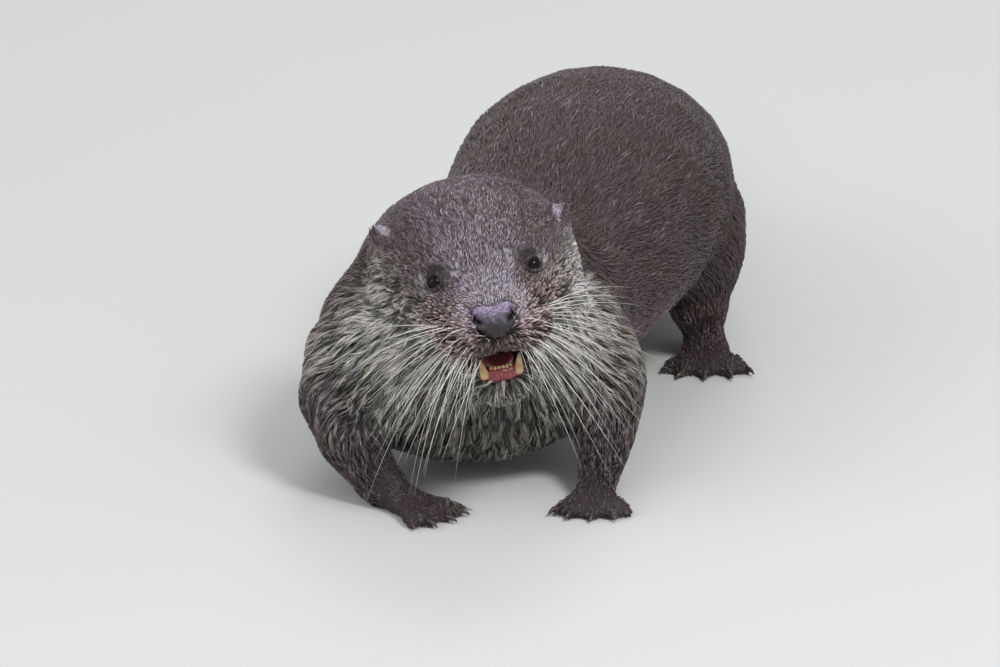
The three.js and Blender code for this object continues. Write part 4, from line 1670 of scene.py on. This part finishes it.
@dataclass
class Coat:
    """The fur as closed, tapered strands gathered in locks, rooted in the skin and lying along it."""

    head: HeadFrame
    map: CoatMap
    skin: Skin
    finish: TuftFinish = TuftFinish()
    root_sink: float = 0.45
    pinch: float = 0.86
    droop: float = 0.3
    long_from: float = 7.0
    shortest: float = 1.2
    floor_gap: float = 0.3
    sunk_share: float = 0.5
    # Painted shade: strands darker along their edges, bristles more so, and towards the rim of their lock.
    edge_shade: float = 0.45
    bristle_shade: float = 0.6
    lock_shade: float = 0.75
    spread_of_lengths: float = 0.16
    tuft_patch: float = 0.003
    rng: np.random.Generator = field(default_factory=lambda: np.random.default_rng(SEED))

    def build(self) -> list[Object]:
        """Grows every piece of the coat.

        Returns:
            The pieces.
        """
        self.lattice = Lattice(self.skin.points, self.skin.normals)
        a, b, c = (self.skin.points[self.skin.faces[:, k]] for k in range(3))
        self.areas = np.linalg.norm(np.cross(b - a, c - a), axis=1) / 2
        owner = self.map.patch(self.skin.shares)
        self.owner = owner[self.skin.faces[:, 0]]
        size = self.map.amount(self.skin.shares, "length") * self.map.amount(self.skin.shares, "width")
        hairy = np.clip(1.15 - 1.3 * self.skin.bare, 0, 1) * self.map.amount(self.skin.shares, "cover")
        self.thickness = (hairy / size)[self.skin.faces].mean(1)
        material = self.finish.material()
        return [self.grow(plan, material) for plan in PLANS]

    def roots(self, plan: PatchPlan) -> tuple[Array, Array, Array]:
        """Evenly scattered lock centres: one at random from each small cell of the skin.

        Args:
            plan: The piece.
        Returns:
            The centres, their normals and the skin points beside them.
        """
        weight = self.areas * self.thickness * (self.owner == PATCHES.index(plan.patch))
        picked = self.rng.choice(len(weight), plan.locks * 4, p=weight / weight.sum())
        u, v = self.rng.random((2, len(picked)))
        over = u + v > 1
        u, v = np.where(over, 1 - u, u), np.where(over, 1 - v, v)
        share = np.stack([1 - u - v, u, v], 1)[:, :, None]
        faces = self.skin.faces[picked]
        points = (self.skin.points[faces] * share).sum(1)
        normals = unit((self.skin.normals[faces] * share).sum(1))
        cell = 0.8 * math.sqrt(self.areas[weight > 0].sum() / plan.locks)
        key = np.floor(points / cell).astype(np.int64) @ np.array([1, 4099, 16785409])
        keep = np.unique(key, return_index=True)[1]
        if len(keep) < plan.locks:
            rest = np.setdiff1d(np.arange(len(points)), keep)
            keep = np.concatenate([keep, self.rng.choice(rest, plan.locks - len(keep), replace=False)])
        else:
            keep = self.rng.choice(keep, plan.locks, replace=False)
        return points[keep], normals[keep], faces[keep, 0]

    def grow(self, plan: PatchPlan, material: Material) -> Object:
        """Grows one piece of the coat.

        Args:
            plan: The piece.
            material: The coat's material.
        Returns:
            The piece.
        """
        strands = self.rooted(plan)
        points = self.solid(plan.form, strands)
        starts = np.arange(len(strands.roots))[:, None, None] * plan.form.size()
        faces = (starts + plan.form.faces()[None]).reshape(-1, 3)
        mesh = new_mesh(plan.patch.value, points, faces)
        self.marked(mesh, plan, strands)
        self.unwrap(mesh, plan, strands.roots)
        return new_piece(mesh, material)

    def rooted(self, plan: PatchPlan) -> Strands:
        """The strands of one piece, lock by lock. Some locks lie sunk where the coat has gaps, and sunk and
        lower locks are painted darker as shade.

        Args:
            plan: The piece.
        Returns:
            The strands.
        """
        rng, (centres, normals, beside) = self.rng, self.roots(plan)
        shares = self.map.shares(centres)
        flow = self.map.flow(centres, normals, shares)
        names = ("depth", "length", "width", "lock", "bristle", "gap")
        look = {name: self.map.amount(shares, name) for name in names}
        count = len(centres)
        stiff = np.where(look["length"] > self.long_from, 1.0, 0.5) + 1.2 * look["bristle"]
        bend = stiff * rng.normal(0, 0.14, count) + 0.18 * wander(centres, 0.02, SEED + 5)
        level = rng.random(count)
        sunk = rng.random(count) < self.sunk_share * look["gap"]
        height = look["depth"] * (0.3 + 0.7 * level)
        # Painted shade: sunk locks, and lower ones, get a lower tone.
        tone = np.where(sunk, 0.3 * level, 0.5 + 0.6 * level)
        lock = np.repeat(np.arange(count), plan.strands)
        n = len(lock)
        look = {name: values[lock] for name, values in look.items()}
        turn = rng.uniform(0, 2 * math.pi, n)
        radius = look["lock"] * np.sqrt(rng.random(n)) * MM * (plan.strands > 1)
        length = look["length"] * (1 + self.spread_of_lengths * rng.normal(size=n)) * MM
        return Strands(
            *(values[lock] for values in (centres, normals, beside, shares, flow)),
            look=look,
            tone=tone[lock],
            turn=turn,
            radius=radius,
            length=length.clip(self.shortest * MM),
            width=look["width"] * rng.uniform(0.75, 1.2, n) * MM / 2,
            rise=height[lock] * rng.uniform(0.85, 1.12, n) * MM,
            lean=rng.normal(0, 0.07, n) + bend[lock],
        )

    def solid(self, form: StrandForm, strands: Strands) -> Array:
        """The strands' points, laid over the skin: flat triangular rings with a ridge on top, then the tip.

        A line runs along the lie of the coat from under the skin, bends sideways with the square of the
        distance and draws in to its lock's middle. Its height rises quickly and then levels out.

        Args:
            form: The strands' form.
            strands: The strands.
        Returns:
            The points of all strands, none of them under the floor.
        """
        side = np.cross(strands.normals, strands.flow)
        blunt = 0.3 * strands.look["bristle"]
        lines, ups = [], []
        for station in form.stations:
            s = np.where((station > 0) & (station < 1), np.minimum(station + blunt, 0.93), station)
            offset = strands.radius * (1 - self.pinch * s**0.8)
            ahead = strands.length * s + offset * np.cos(strands.turn)
            aside = offset * np.sin(strands.turn) + strands.lean * strands.length * s * s
            where = strands.roots + strands.flow * ahead[:, None] + side * aside[:, None]
            over, up = self.lattice.above(where, strands.beside)
            sunk = self.root_sink * MM * (1 - s) ** 3
            want = strands.rise * (1 - (1 - s) ** 1.7) * (1 - self.droop * s**3) - sunk
            lines.append(where + up * (want - over)[:, None])
            ups.append(up)
        lines, ups = np.stack(lines, 1), np.stack(ups, 1)
        forward = unit(np.gradient(lines, axis=1))
        sideways = unit(np.cross(forward, ups))
        over = unit(np.cross(sideways, forward))
        rings = form.rings()
        half = (strands.width[:, None] * np.array(form.girth))[:, :, None]
        middle, out = lines[:, :rings], sideways[:, :rings] * half
        ridge = middle + over[:, :rings] * half * 1.1
        section = np.stack([middle - out, middle + out, ridge], 2).reshape(len(lines), rings * 3, 3)
        points = np.concatenate([section, lines[:, -1:]], 1).reshape(-1, 3)
        points[:, 2] = np.maximum(points[:, 2], self.floor_gap * MM)
        return points

    def marked(self, mesh: Mesh, plan: PatchPlan, strands: Strands) -> None:
        """Gives the strands their markings and tones, with painted shade: darker at the lock's rim, and at
        their own edges.

        Args:
            mesh: The piece's mesh.
            plan: The piece.
            strands: Its strands.
        """
        rng, look = self.rng, strands.look
        n, per, rings = len(strands.roots), plan.form.size(), plan.form.rings()
        marks = self.skin.markings(strands.roots, strands.shares)
        along = np.append(np.repeat(plan.form.stations[:rings], 3), 1.0)
        edges = np.append(np.tile([1.0, 1.0, 0.0], rings), 0.0)
        # Strands that carry frost_and_sheen, pale tips and painted wet sheen, more of it towards their tips.
        frosted = rng.random(n) < marks["frost_and_sheen"] * 1.15
        bristled = marks["bristle"] * rng.choice([0.15, 0.9, 1.15], n)
        outer = (strands.radius / np.maximum(look["lock"] * MM, 1e-9)) ** 2
        tone = strands.tone + rng.normal(0, 0.1, n)
        # Painted shade: darker towards the lock's rim, lighter in its middle.
        tone = tone + self.lock_shade * (0.4 - outer) * (plan.strands > 1)
        # Painted shade along each strand's two side edges, its ridge left lighter.
        edge_painted_shade = self.edge_shade * look["gap"] + self.bristle_shade * look["bristle"]
        paled = marks["pale"] + rng.normal(0, 0.12, n) * (marks["pale"] > 0.1)
        frosting = np.where(frosted, rng.uniform(0.35, 1.0, n), 0.05)
        give(mesh, "along", np.tile(along, n))
        for name in ("gap", "dark_and_shade"):
            give(mesh, name, np.repeat(marks[name], per))
        give(mesh, "tone", np.clip(tone[:, None] - edge_painted_shade[:, None] * edges, 0, 1).ravel())
        give(mesh, "pale", np.repeat(np.clip(paled, 0, 1), per))
        give(mesh, "frost_and_sheen", np.outer(frosting, 0.35 + 0.65 * along).ravel())
        give(mesh, "bristle", np.outer(np.clip(bristled, 0, 1), np.clip(1.6 * along, 0, 1)).ravel())

    def flat_place(self, plan: PatchPlan, roots: Array) -> Array:
        """Where roots lie on the skin laid out flat: how far round and along, from 0 to 1 over the piece.

        On the head this is about its long axis, on the body about the spine, and each limb has a quarter.

        Args:
            plan: The piece.
            roots: The strands' roots.
        Returns:
            A pair of numbers for each root.
        """
        if plan.flat == "head":
            q = self.head.local(roots)
            pair = np.stack([np.arctan2(q[:, 0], q[:, 2] + 18.0), q[:, 1]], 1)
        elif plan.flat == "body":
            rel = roots - self.map.spine_point(roots)[0]
            pair = np.stack([np.arctan2(rel[:, 0], rel[:, 2]), roots[:, 1]], 1)
        else:
            gap = np.linalg.norm(roots[:, None] - self.map.foot_middles[None], axis=2)
            limb = gap.argmin(1)
            rel = roots - self.map.foot_middles[limb]
            turn = np.arctan2(rel[:, 0], -rel[:, 1])
            reach = np.linalg.norm(rel, axis=1)
            pair = np.empty((len(roots), 2))
            for which in range(len(FEET)):
                mine = limb == which
                own = np.stack([turn[mine], reach[mine]], 1)
                own = (own - own.min(0)) / np.maximum(np.ptp(own, axis=0), 1e-9)
                pair[mine] = own * 0.47 + np.array([which % 2, which // 2]) * 0.51
        pair = (pair - pair.min(0)) / np.ptp(pair, axis=0)
        return 0.01 + 0.97 * pair

    def unwrap(self, mesh: Mesh, plan: PatchPlan, roots: Array) -> None:
        """Gives each strand a small patch of its own at its root's place on the skin laid out flat.

        Args:
            mesh: The piece's mesh.
            plan: The piece.
            roots: The root of each strand.
        """
        rings = plan.form.rings()
        u = np.append(np.tile([0.0, 1.0, 0.5], rings), 0.5)
        v = np.append(np.repeat(np.linspace(0, 0.85, rings), 3) + np.tile([0.0, 0.0, 0.12], rings), 1.0)
        corners = (np.stack([u, v], 1) * self.tuft_patch)[plan.form.faces().ravel()]
        layer = mesh.uv_layers.new(name="OFBake")
        uv = (self.flat_place(plan, roots)[:, None] + corners[None]).reshape(-1, 2)
        layer.uv.foreach_set("vector", uv.astype(np.float32).ravel())


# ---- eyes, nose, mouth, claws and whiskers


@dataclass
class Eyeballs:
    """Both eyes: a ball with the clear front of the eye swelling out along the gaze."""

    head: HeadFrame
    eyes: tuple[Eye, ...]
    finish: EyeFinish = EyeFinish()
    swell: float = 0.45
    swell_width: float = 34.0
    rows: int = 48
    around: int = 64

    def build(self) -> list[Object]:
        """Builds the left and the right eye.

        Returns:
            The two pieces.
        """
        material = self.finish.material()
        polar = np.linspace(0.02, math.pi - 0.02, self.rows)
        turn = np.linspace(0, 2 * math.pi, self.around, endpoint=False)
        p, t = (g.ravel() for g in np.meshgrid(polar, turn, indexing="ij"))
        p, t = np.append(p, [0.0, math.pi]), np.append(t, [0.0, 0.0])
        ways = np.stack([np.sin(p) * np.cos(t), np.sin(p) * np.sin(t), np.cos(p)], 1)
        swell = self.swell * bell(np.degrees(p), self.swell_width)
        pieces = []
        for side, eye in zip(SIDES, self.eyes):
            axes = eye.axes()
            if np.linalg.det(axes) < 0:
                axes = axes * np.array([[-1.0], [1.0], [1.0]])
            points = self.head.world(eye.place() + (ways * (eye.radius + swell)[:, None]) @ axes)
            mesh = new_mesh(f"eyeball_{side}", points, closed_rings(self.rows, self.around))
            give(mesh, "from_axis", np.degrees(p))
            pieces.append(new_piece(mesh, material, (f"eye_{side}",)))
        return pieces


@dataclass
class NosePad:
    """The bare nose: a domed pad with a W-shaped top edge, comma nostrils at its sides and a point below."""

    head: HeadFrame
    finish: NoseFinish = NoseFinish()
    half_width: float = 11.8
    half_height: float = 9.8
    bulge: float = 5.6
    tip_back: float = 10.0
    centre: Triple = (0.0, -65.4, -7.0)
    rings: int = 64
    around: int = 144

    def share_at(self, q: Array) -> Array:
        """How far out points lie on the pad, in the head's axes: 0 at its middle and 1 at its edge."""
        x, z = q[:, 0] - self.centre[0], q[:, 2] - self.centre[2]
        return np.hypot(x, z) / self.outline(np.arctan2(z, x))

    def outline(self, turn: Array) -> Array:
        """The pad's edge: an ellipse narrowed below, dipped at the top and raised at its two corners.

        Args:
            turn: The turn about the middle, from the otter's left, in radians.
        Returns:
            The edge's distance from the middle in millimetres.
        """
        wide, tall = np.abs(np.cos(turn)), np.sin(turn)
        radius = 1 / np.hypot(wide / self.half_width, tall / self.half_height)
        from_top = turn - math.pi / 2
        from_top = (from_top + math.pi) % (2 * math.pi) - math.pi
        corners = 0.20 * bell(np.abs(from_top) - 0.86, 0.32)
        dip = -0.16 * bell(from_top, 0.45)
        narrow = -0.12 * bell(np.abs(np.abs(from_top) - 2.25), 0.42)
        point = -0.06 * bell(np.abs(from_top) - math.pi, 0.4)
        return radius * (1 + corners + dip + narrow + point)

    def relief(self, x: Array, z: Array, share: Array) -> tuple[Array, Array]:
        """How far the pad stands forward: a dome with the nostrils' wings, less the nostrils and the groove.

        Args:
            x: How far to the otter's left.
            z: How far up.
            share: How far out on the pad, from 0 to 1.
        Returns:
            The height forward in millimetres, and how much of a nostril each point is.
        """
        dome = self.bulge * np.sqrt(np.clip(1 - share**2.6, 0, 1))
        a = np.abs(x)
        hole = bell(np.hypot((a - 8.2) / 1.8, (z - 1.3 - 0.3 * (a - 8.2)) / 1.7), 1.0)
        tail = bell(np.hypot((a - 10.0 + 0.4 * (z - 3.4)) / 0.9, (z - 3.4) / 2.2), 1.0)
        wing = bell(np.hypot((a - 9.0) / 2.4, (z + 2.6) / 1.6), 1.0)
        wing = wing + 0.7 * bell(np.hypot((a - 6.2) / 1.7, (z - 4.2) / 1.5), 1.0)
        groove = bell(x, 0.8) * ramp(-z, -1.5, 4.0)
        nostril = np.clip(1.5 * hole + 1.3 * tail - 0.35, 0, 1)
        return dome - 3.8 * hole - 2.2 * tail + 0.7 * wing - 0.7 * groove, nostril

    def build(self) -> Object:
        """Builds the pad as rings from its middle out to its edge, then two behind it.

        Returns:
            The piece.
        """
        share = np.concatenate([np.linspace(0.02, 1.0, self.rings), [1.0, 0.9]])
        turn = np.linspace(0, 2 * math.pi, self.around, endpoint=False)
        s, t = np.meshgrid(share, turn, indexing="ij")
        radius = self.outline(t) * s
        x, z = radius * np.cos(t), radius * np.sin(t)
        out, nostril = self.relief(x, z, s)
        out[-2:] = np.array([-2.0, -4.5])[:, None]
        y = -out + (0.022 * x**2 + 0.012 * (z + 1) ** 2)
        tip = -math.radians(self.tip_back)
        back, up = y * math.cos(tip) - z * math.sin(tip), y * math.sin(tip) + z * math.cos(tip)
        q = np.stack([x, back, up], -1).reshape(-1, 3) + np.array(self.centre)
        front = q[: self.around].mean(0)
        behind = q[-self.around :].mean(0) + np.array([0, 2.0, 0])
        points = self.head.world(np.vstack([q, front[None], behind[None]]))
        mesh = new_mesh("nose_pad", points, closed_rings(len(share), self.around))
        # lift carries the painted light on the pad's top and the painted shade below.
        lift = (z.ravel() + self.half_height) / (2 * self.half_height)
        give(mesh, "lift", np.append(lift, [0.5, 0.5]))
        give(mesh, "nostril", np.append(nostril.ravel(), [nostril[0].mean(), 0.0]))
        return new_piece(mesh, self.finish.material(), ("nose",))


@dataclass
class Mouth:
    """What shows between the lips: the tongue, the lower gum, its incisors and its two canines."""

    head: HeadFrame
    tongue_centre: Triple = (0.0, -32.0, -36.8)
    tongue_half: Triple = (8.2, 15.5, 3.4)
    crease: float = 0.7
    gum_radius: float = 2.6
    canine: Triple = (8.9, -48.0, -41.0)
    canine_length: float = 11.0
    canine_radius: float = 2.2
    incisors: int = 6
    incisor_pitch: float = 2.05
    incisor_half: Triple = (1.08, 0.8, 1.6)
    flesh: PlainFinish = PlainFinish(
        "gum_and_tongue", shade(166, 76, 78), shade(104, 38, 42), 0.34, 700.0, 0.0003, clear=0.4, flesh=0.2
    )
    enamel: PlainFinish = PlainFinish(
        "tooth", shade(204, 184, 142), shade(178, 134, 80), 0.25, 260.0, 0.00005, clear=0.4, flesh=0.1
    )

    def arch(self, aside: Array, ahead: float) -> Array:
        """Points along the front of the lower jaw: a parabola that runs back on its way to the canines."""
        x, y, z = self.canine
        return np.stack([aside, y - ahead + 4.0 * (aside / x) ** 2, np.full_like(aside, z)], 1)

    def tongue(self) -> Shape:
        """The tongue: a flat ellipsoid with a crease along its top.

        Returns:
            Its points and faces.
        """
        points, faces = ball(np.array(self.tongue_centre), self.tongue_half, 24, 32)
        on_top = points[:, 2] > self.tongue_centre[2]
        points[:, 2] -= self.crease * (bell(points[:, 0], 1.4) * on_top)
        return points, faces

    def gum(self) -> Shape:
        """The lower gum: a thick ridge along the arch, which rises a little between the teeth.

        Returns:
            Its points and faces.
        """
        wide = self.canine[0]
        span = np.linspace(-wide - 2.0, wide + 2.0, 40)
        ridge = self.arch(span, 1.6)
        ridge[:, 2] += 1.8 + 0.35 * np.cos(span / wide * math.pi * 3)
        ridge[:, 2] -= 1.0
        radii = self.gum_radius * np.sqrt(np.clip(1 - (span / (wide + 3.2)) ** 6, 0.05, 1))
        return tube(ridge, radii, 20, 1.4)

    def teeth(self) -> Shape:
        """The two canines, which lean out and bow forward, and the incisors between them.

        Returns:
            Their points and faces.
        """
        t = np.linspace(0, 1, 14)
        x, y, z = self.canine
        aside, ahead = x + 1.7 * t**1.2, y - 0.5 - 2.2 * np.sin(t * 1.6)
        radii = self.canine_radius * (1 - t) ** 0.62 * (1 + 0.1 * np.sin(t * math.pi)) + 0.22
        teeth = []
        for side in SIDES.values():
            path = np.stack([side * aside, ahead, z + self.canine_length * t], 1)
            teeth.append(tube(path, radii, 20, 0.85, np.array([0.0, 1.0, 0.0])))
        for k in range(self.incisors):
            place = (k - (self.incisors - 1) / 2) * self.incisor_pitch
            base = self.arch(np.array([place]), 2.2)[0] + np.array([0, 0, 4.2])
            teeth.append(ball(base, self.incisor_half, 10, 14))
        return gathered(teeth)

    def build(self) -> list[Object]:
        """Builds the tongue, the gum and the teeth.

        Returns:
            The three pieces.
        """
        flesh, enamel = self.flesh.material(), self.enamel.material()
        pieces = []
        for name, (points, faces), material, slot, stands_for in (
            ("tongue_surface", self.tongue(), flesh, "tongue_flesh", ("tongue",)),
            ("lower_gum", self.gum(), flesh, "tongue_flesh", ()),
            ("lower_teeth", self.teeth(), enamel, "tooth", ()),
        ):
            mesh = new_mesh(name, self.head.world(points), faces)
            pieces.append(new_piece(mesh, material, stands_for))
        return pieces


@dataclass
class Claws:
    """A short dark claw at the tip of each toe."""

    coat: CoatMap
    fan: float = 17.0
    toes: int = 5
    length: float = 6.5
    overhang: float = 1.2
    lift: float = 1.6
    radius: float = 1.5
    finish: PlainFinish = PlainFinish(
        "claw", shade(74, 64, 58), shade(40, 33, 30), 0.35, 300.0, 0.0001, clear=0.3
    )

    def build(self) -> Object:
        """Builds all the claws: each a tapered tube that leaves the toe level and curves down to the floor.

        Returns:
            The piece.
        """
        t = np.linspace(0, 1, 9)[:, None]
        radii = self.radius * (1 - t[:, 0]) ** 0.6 * MM + 0.12 * MM
        shapes = []
        for foot, heading in zip(FEET, self.coat.foot_headings):
            points = node_surface(foot)[0]
            for k in range(self.toes):
                turn = math.radians((k - (self.toes - 1) / 2) * self.fan)
                c, s = math.cos(turn), math.sin(turn)
                way = np.array([heading[0] * c - heading[1] * s, heading[0] * s + heading[1] * c, 0.0])
                tip = points[np.argmax(points @ way)]
                start = tip - way * (self.length - self.overhang) * MM + UP * self.lift * MM
                path = start + way * t * self.length * MM + UP * (0.9 * np.sin(t * 2.2) - 2.3 * t**2) * MM
                path[:, 2] = np.maximum(path[:, 2], self.radius * 0.5 * MM)
                shapes.append(tube(path, radii, 12, 1.1))
        return new_piece(new_mesh("claws", *gathered(shapes)), self.finish.material())


@dataclass(frozen=True)
class Whisker:
    """One whisker in the head's axes: its root, its way, its length, and how it hangs."""

    root: Triple
    way: Triple
    length: float
    sag: float
    thickness: float = 1.0


@dataclass
class Whiskers:
    """The whiskers of both pads, and the short fine ones along the upper lip."""

    head: HeadFrame
    finish: WhiskerFinish = WhiskerFinish()
    radius: float = 0.23
    taper: float = 0.86
    rooted: float = 2.0
    around: int = 6
    steps: int = 16
    rows: tuple[tuple[float, int], ...] = ((-8.0, 6), (-12.5, 6), (-17.5, 7), (-22.5, 8), (-27.5, 9))
    lip_whiskers: int = 9
    rng: np.random.Generator = field(default_factory=lambda: np.random.default_rng(SEED + 9))

    def fan(self) -> list[Whisker]:
        """The whiskers of one side: rows on the pad that point out, down and back, longer towards the cheek.

        Returns:
            The left side's whiskers.
        """
        whiskers = []
        for row, (z, count) in enumerate(self.rows):
            for k in range(count):
                t = k / (count - 1)
                root = (17.0 + 15.0 * t - 1.2 * row, -64.0 + 19.0 * t + 0.5 * row, z)
                way = (0.62 + 0.45 * t, -0.42 + 0.50 * t, 0.16 - 0.26 * row + 0.08 * t)
                whiskers.append(Whisker(root, way, 30 + 22 * t + 3 * row, 14 + 4.5 * row))
        for k in range(self.lip_whiskers):
            x = 11.5 + 1.1 * k
            way = (0.03 * x - 0.1, -0.35, -1.0)
            whiskers.append(Whisker((x, -63.5 + 0.45 * x, -26.0), way, 22 + 0.6 * x, 6, 0.6))
        return whiskers

    def build(self) -> Object:
        """Builds all the whiskers: tapered tubes along lines that bend down with the square of the way.

        Returns:
            The piece.
        """
        t = np.linspace(0, 1, self.steps)[:, None]
        shapes = []
        for side in SIDES.values():
            mirror = np.array([side, 1, 1])
            for whisker in self.fan():
                jitter = self.rng.normal(0, 1, (2, 3))
                root = (np.array(whisker.root) + 0.7 * jitter[0]) * mirror
                way = unit(np.array(whisker.way) + 0.10 * jitter[1]) * mirror
                length = whisker.length * self.rng.uniform(0.75, 1.2)
                curl = self.rng.normal(0, 3.0)
                bow = np.array([curl * side, 0.25 * length, -whisker.sag * self.rng.uniform(0.6, 1.3)])
                path = root - self.rooted * way + way * length * t + t**2 * bow
                girth = self.radius * whisker.thickness * self.rng.uniform(0.7, 1.1)
                points, faces = tube(path, girth * (1 - self.taper * t[:, 0] ** 1.2), self.around)
                shapes.append((self.head.world(points), faces))
        mesh = new_mesh("whiskers", *gathered(shapes))
        along = np.append(np.repeat(t[:, 0], self.around), [0.0, 1.0])
        give(mesh, "along", np.tile(along, len(shapes)))
        return new_piece(mesh, self.finish.material())


# ---- the studio


@dataclass(frozen=True)
class Lamp:
    """A square soft lamp: where it hangs and how wide it is in metres, and its power in watts."""

    name: str
    place: Triple
    size: float
    watts: float

    def hang(self, target: Array) -> None:
        """Hangs the lamp so that it points at the target.

        Args:
            target: A point of the scene.
        """
        light = bpy.data.lights.new(self.name, "AREA")
        light.size, light.energy = self.size, self.watts
        lamp = bpy.data.objects.new(self.name, light)
        lamp.location = self.place
        lamp.rotation_mode = "QUATERNION"
        lamp.rotation_quaternion = (Vector(target) - Vector(self.place)).to_track_quat("-Z", "Y")
        bpy.context.scene.collection.objects.link(lamp)


@dataclass
class Studio:
    """A pale floor, soft light and the camera."""

    floor_size: float = 14.0
    floor_colour: Colour = (0.62, 0.62, 0.61)
    sky_colour: Colour = (0.95, 0.97, 1.0)
    sky_strength: float = 0.55
    lamps: tuple[Lamp, ...] = (
        Lamp("key", (1.1, -1.5, 2.1), 0.8, 42.0),
        Lamp("fill", (-1.8, -1.2, 1.3), 1.6, 16.0),
        Lamp("back", (0.3, 2.0, 2.0), 1.2, 20.0),
    )
    elevation: float = 18.0
    distance: float = 4.0
    lens: float = 276.9
    look_past_nose: Triple = (2.5, -2.6, -4.6)

    def floor(self) -> None:
        """Lays the floor."""
        h = self.floor_size / 2
        corners = np.array([[-h, -h, 0], [h, -h, 0], [h, h, 0], [-h, h, 0]], float)
        mesh = new_mesh("floor", corners, np.array([[0, 1, 2, 3]]))
        plane = bpy.data.objects.new("floor", mesh)
        bpy.context.scene.collection.objects.link(plane)
        shader = Shader("floor")
        tint = tuple(0.96 * c for c in self.floor_colour)
        shader.set(Base_Color=shader.mix(shader.noise(1.5), self.floor_colour, tint), Roughness=0.8)
        mesh.materials.append(shader.material)

    def sky(self) -> None:
        """Lights the scene evenly from all round."""
        world = bpy.data.worlds.new("studio")
        world.use_nodes = True
        background = world.node_tree.nodes["Background"]
        background.inputs["Color"].default_value = (*self.sky_colour, 1.0)
        background.inputs["Strength"].default_value = self.sky_strength
        bpy.context.scene.world = world

    def camera(self) -> None:
        """Stands the camera in front of the otter, a little above it, and points it beside the nose."""
        look = box_centre("nose") + np.array(self.look_past_nose) * MM
        rise = math.radians(self.elevation)
        back = np.array([0.0, -math.cos(rise), math.sin(rise)])
        data = bpy.data.cameras.new("camera")
        data.sensor_width, data.lens = 36.0, self.lens
        data.clip_start, data.clip_end = 0.05, 50.0
        camera = bpy.data.objects.new("camera", data)
        camera.location = Vector(look + back * self.distance)
        camera.rotation_mode = "QUATERNION"
        camera.rotation_quaternion = Vector(-back).to_track_quat("-Z", "Y")
        bpy.context.scene.collection.objects.link(camera)
        bpy.context.scene.camera = camera

    def build(self) -> None:
        """Sets the floor, the lights and the camera."""
        self.floor()
        self.sky()
        bpy.context.scene.view_settings.view_transform = "Standard"
        middle = (np.array(CAD_BOX[0]) + np.array(CAD_BOX[1])) / 2
        for lamp in self.lamps:
            lamp.hang(middle)
        self.camera()


def main() -> None:
    """Builds the studio and then the otter, piece by piece."""
    logging.basicConfig(level=logging.INFO, format="%(message)s")
    Studio().build()
    head = HeadFrame.from_features()
    eyes = (Eye(SIDES["left"], open_tall=32.0, slant=22.0), Eye(SIDES["right"]))
    coat_map = CoatMap(head)
    pad = NosePad(head)
    skin = Skin(head, coat_map, eyes, pad)
    skin.build()
    Eyeballs(head, eyes).build()
    pad.build()
    Mouth(head).build()
    Claws(coat_map).build()
    Whiskers(head).build()
    Coat(head, coat_map, skin).build()


if __name__ == "__main__":
    main()
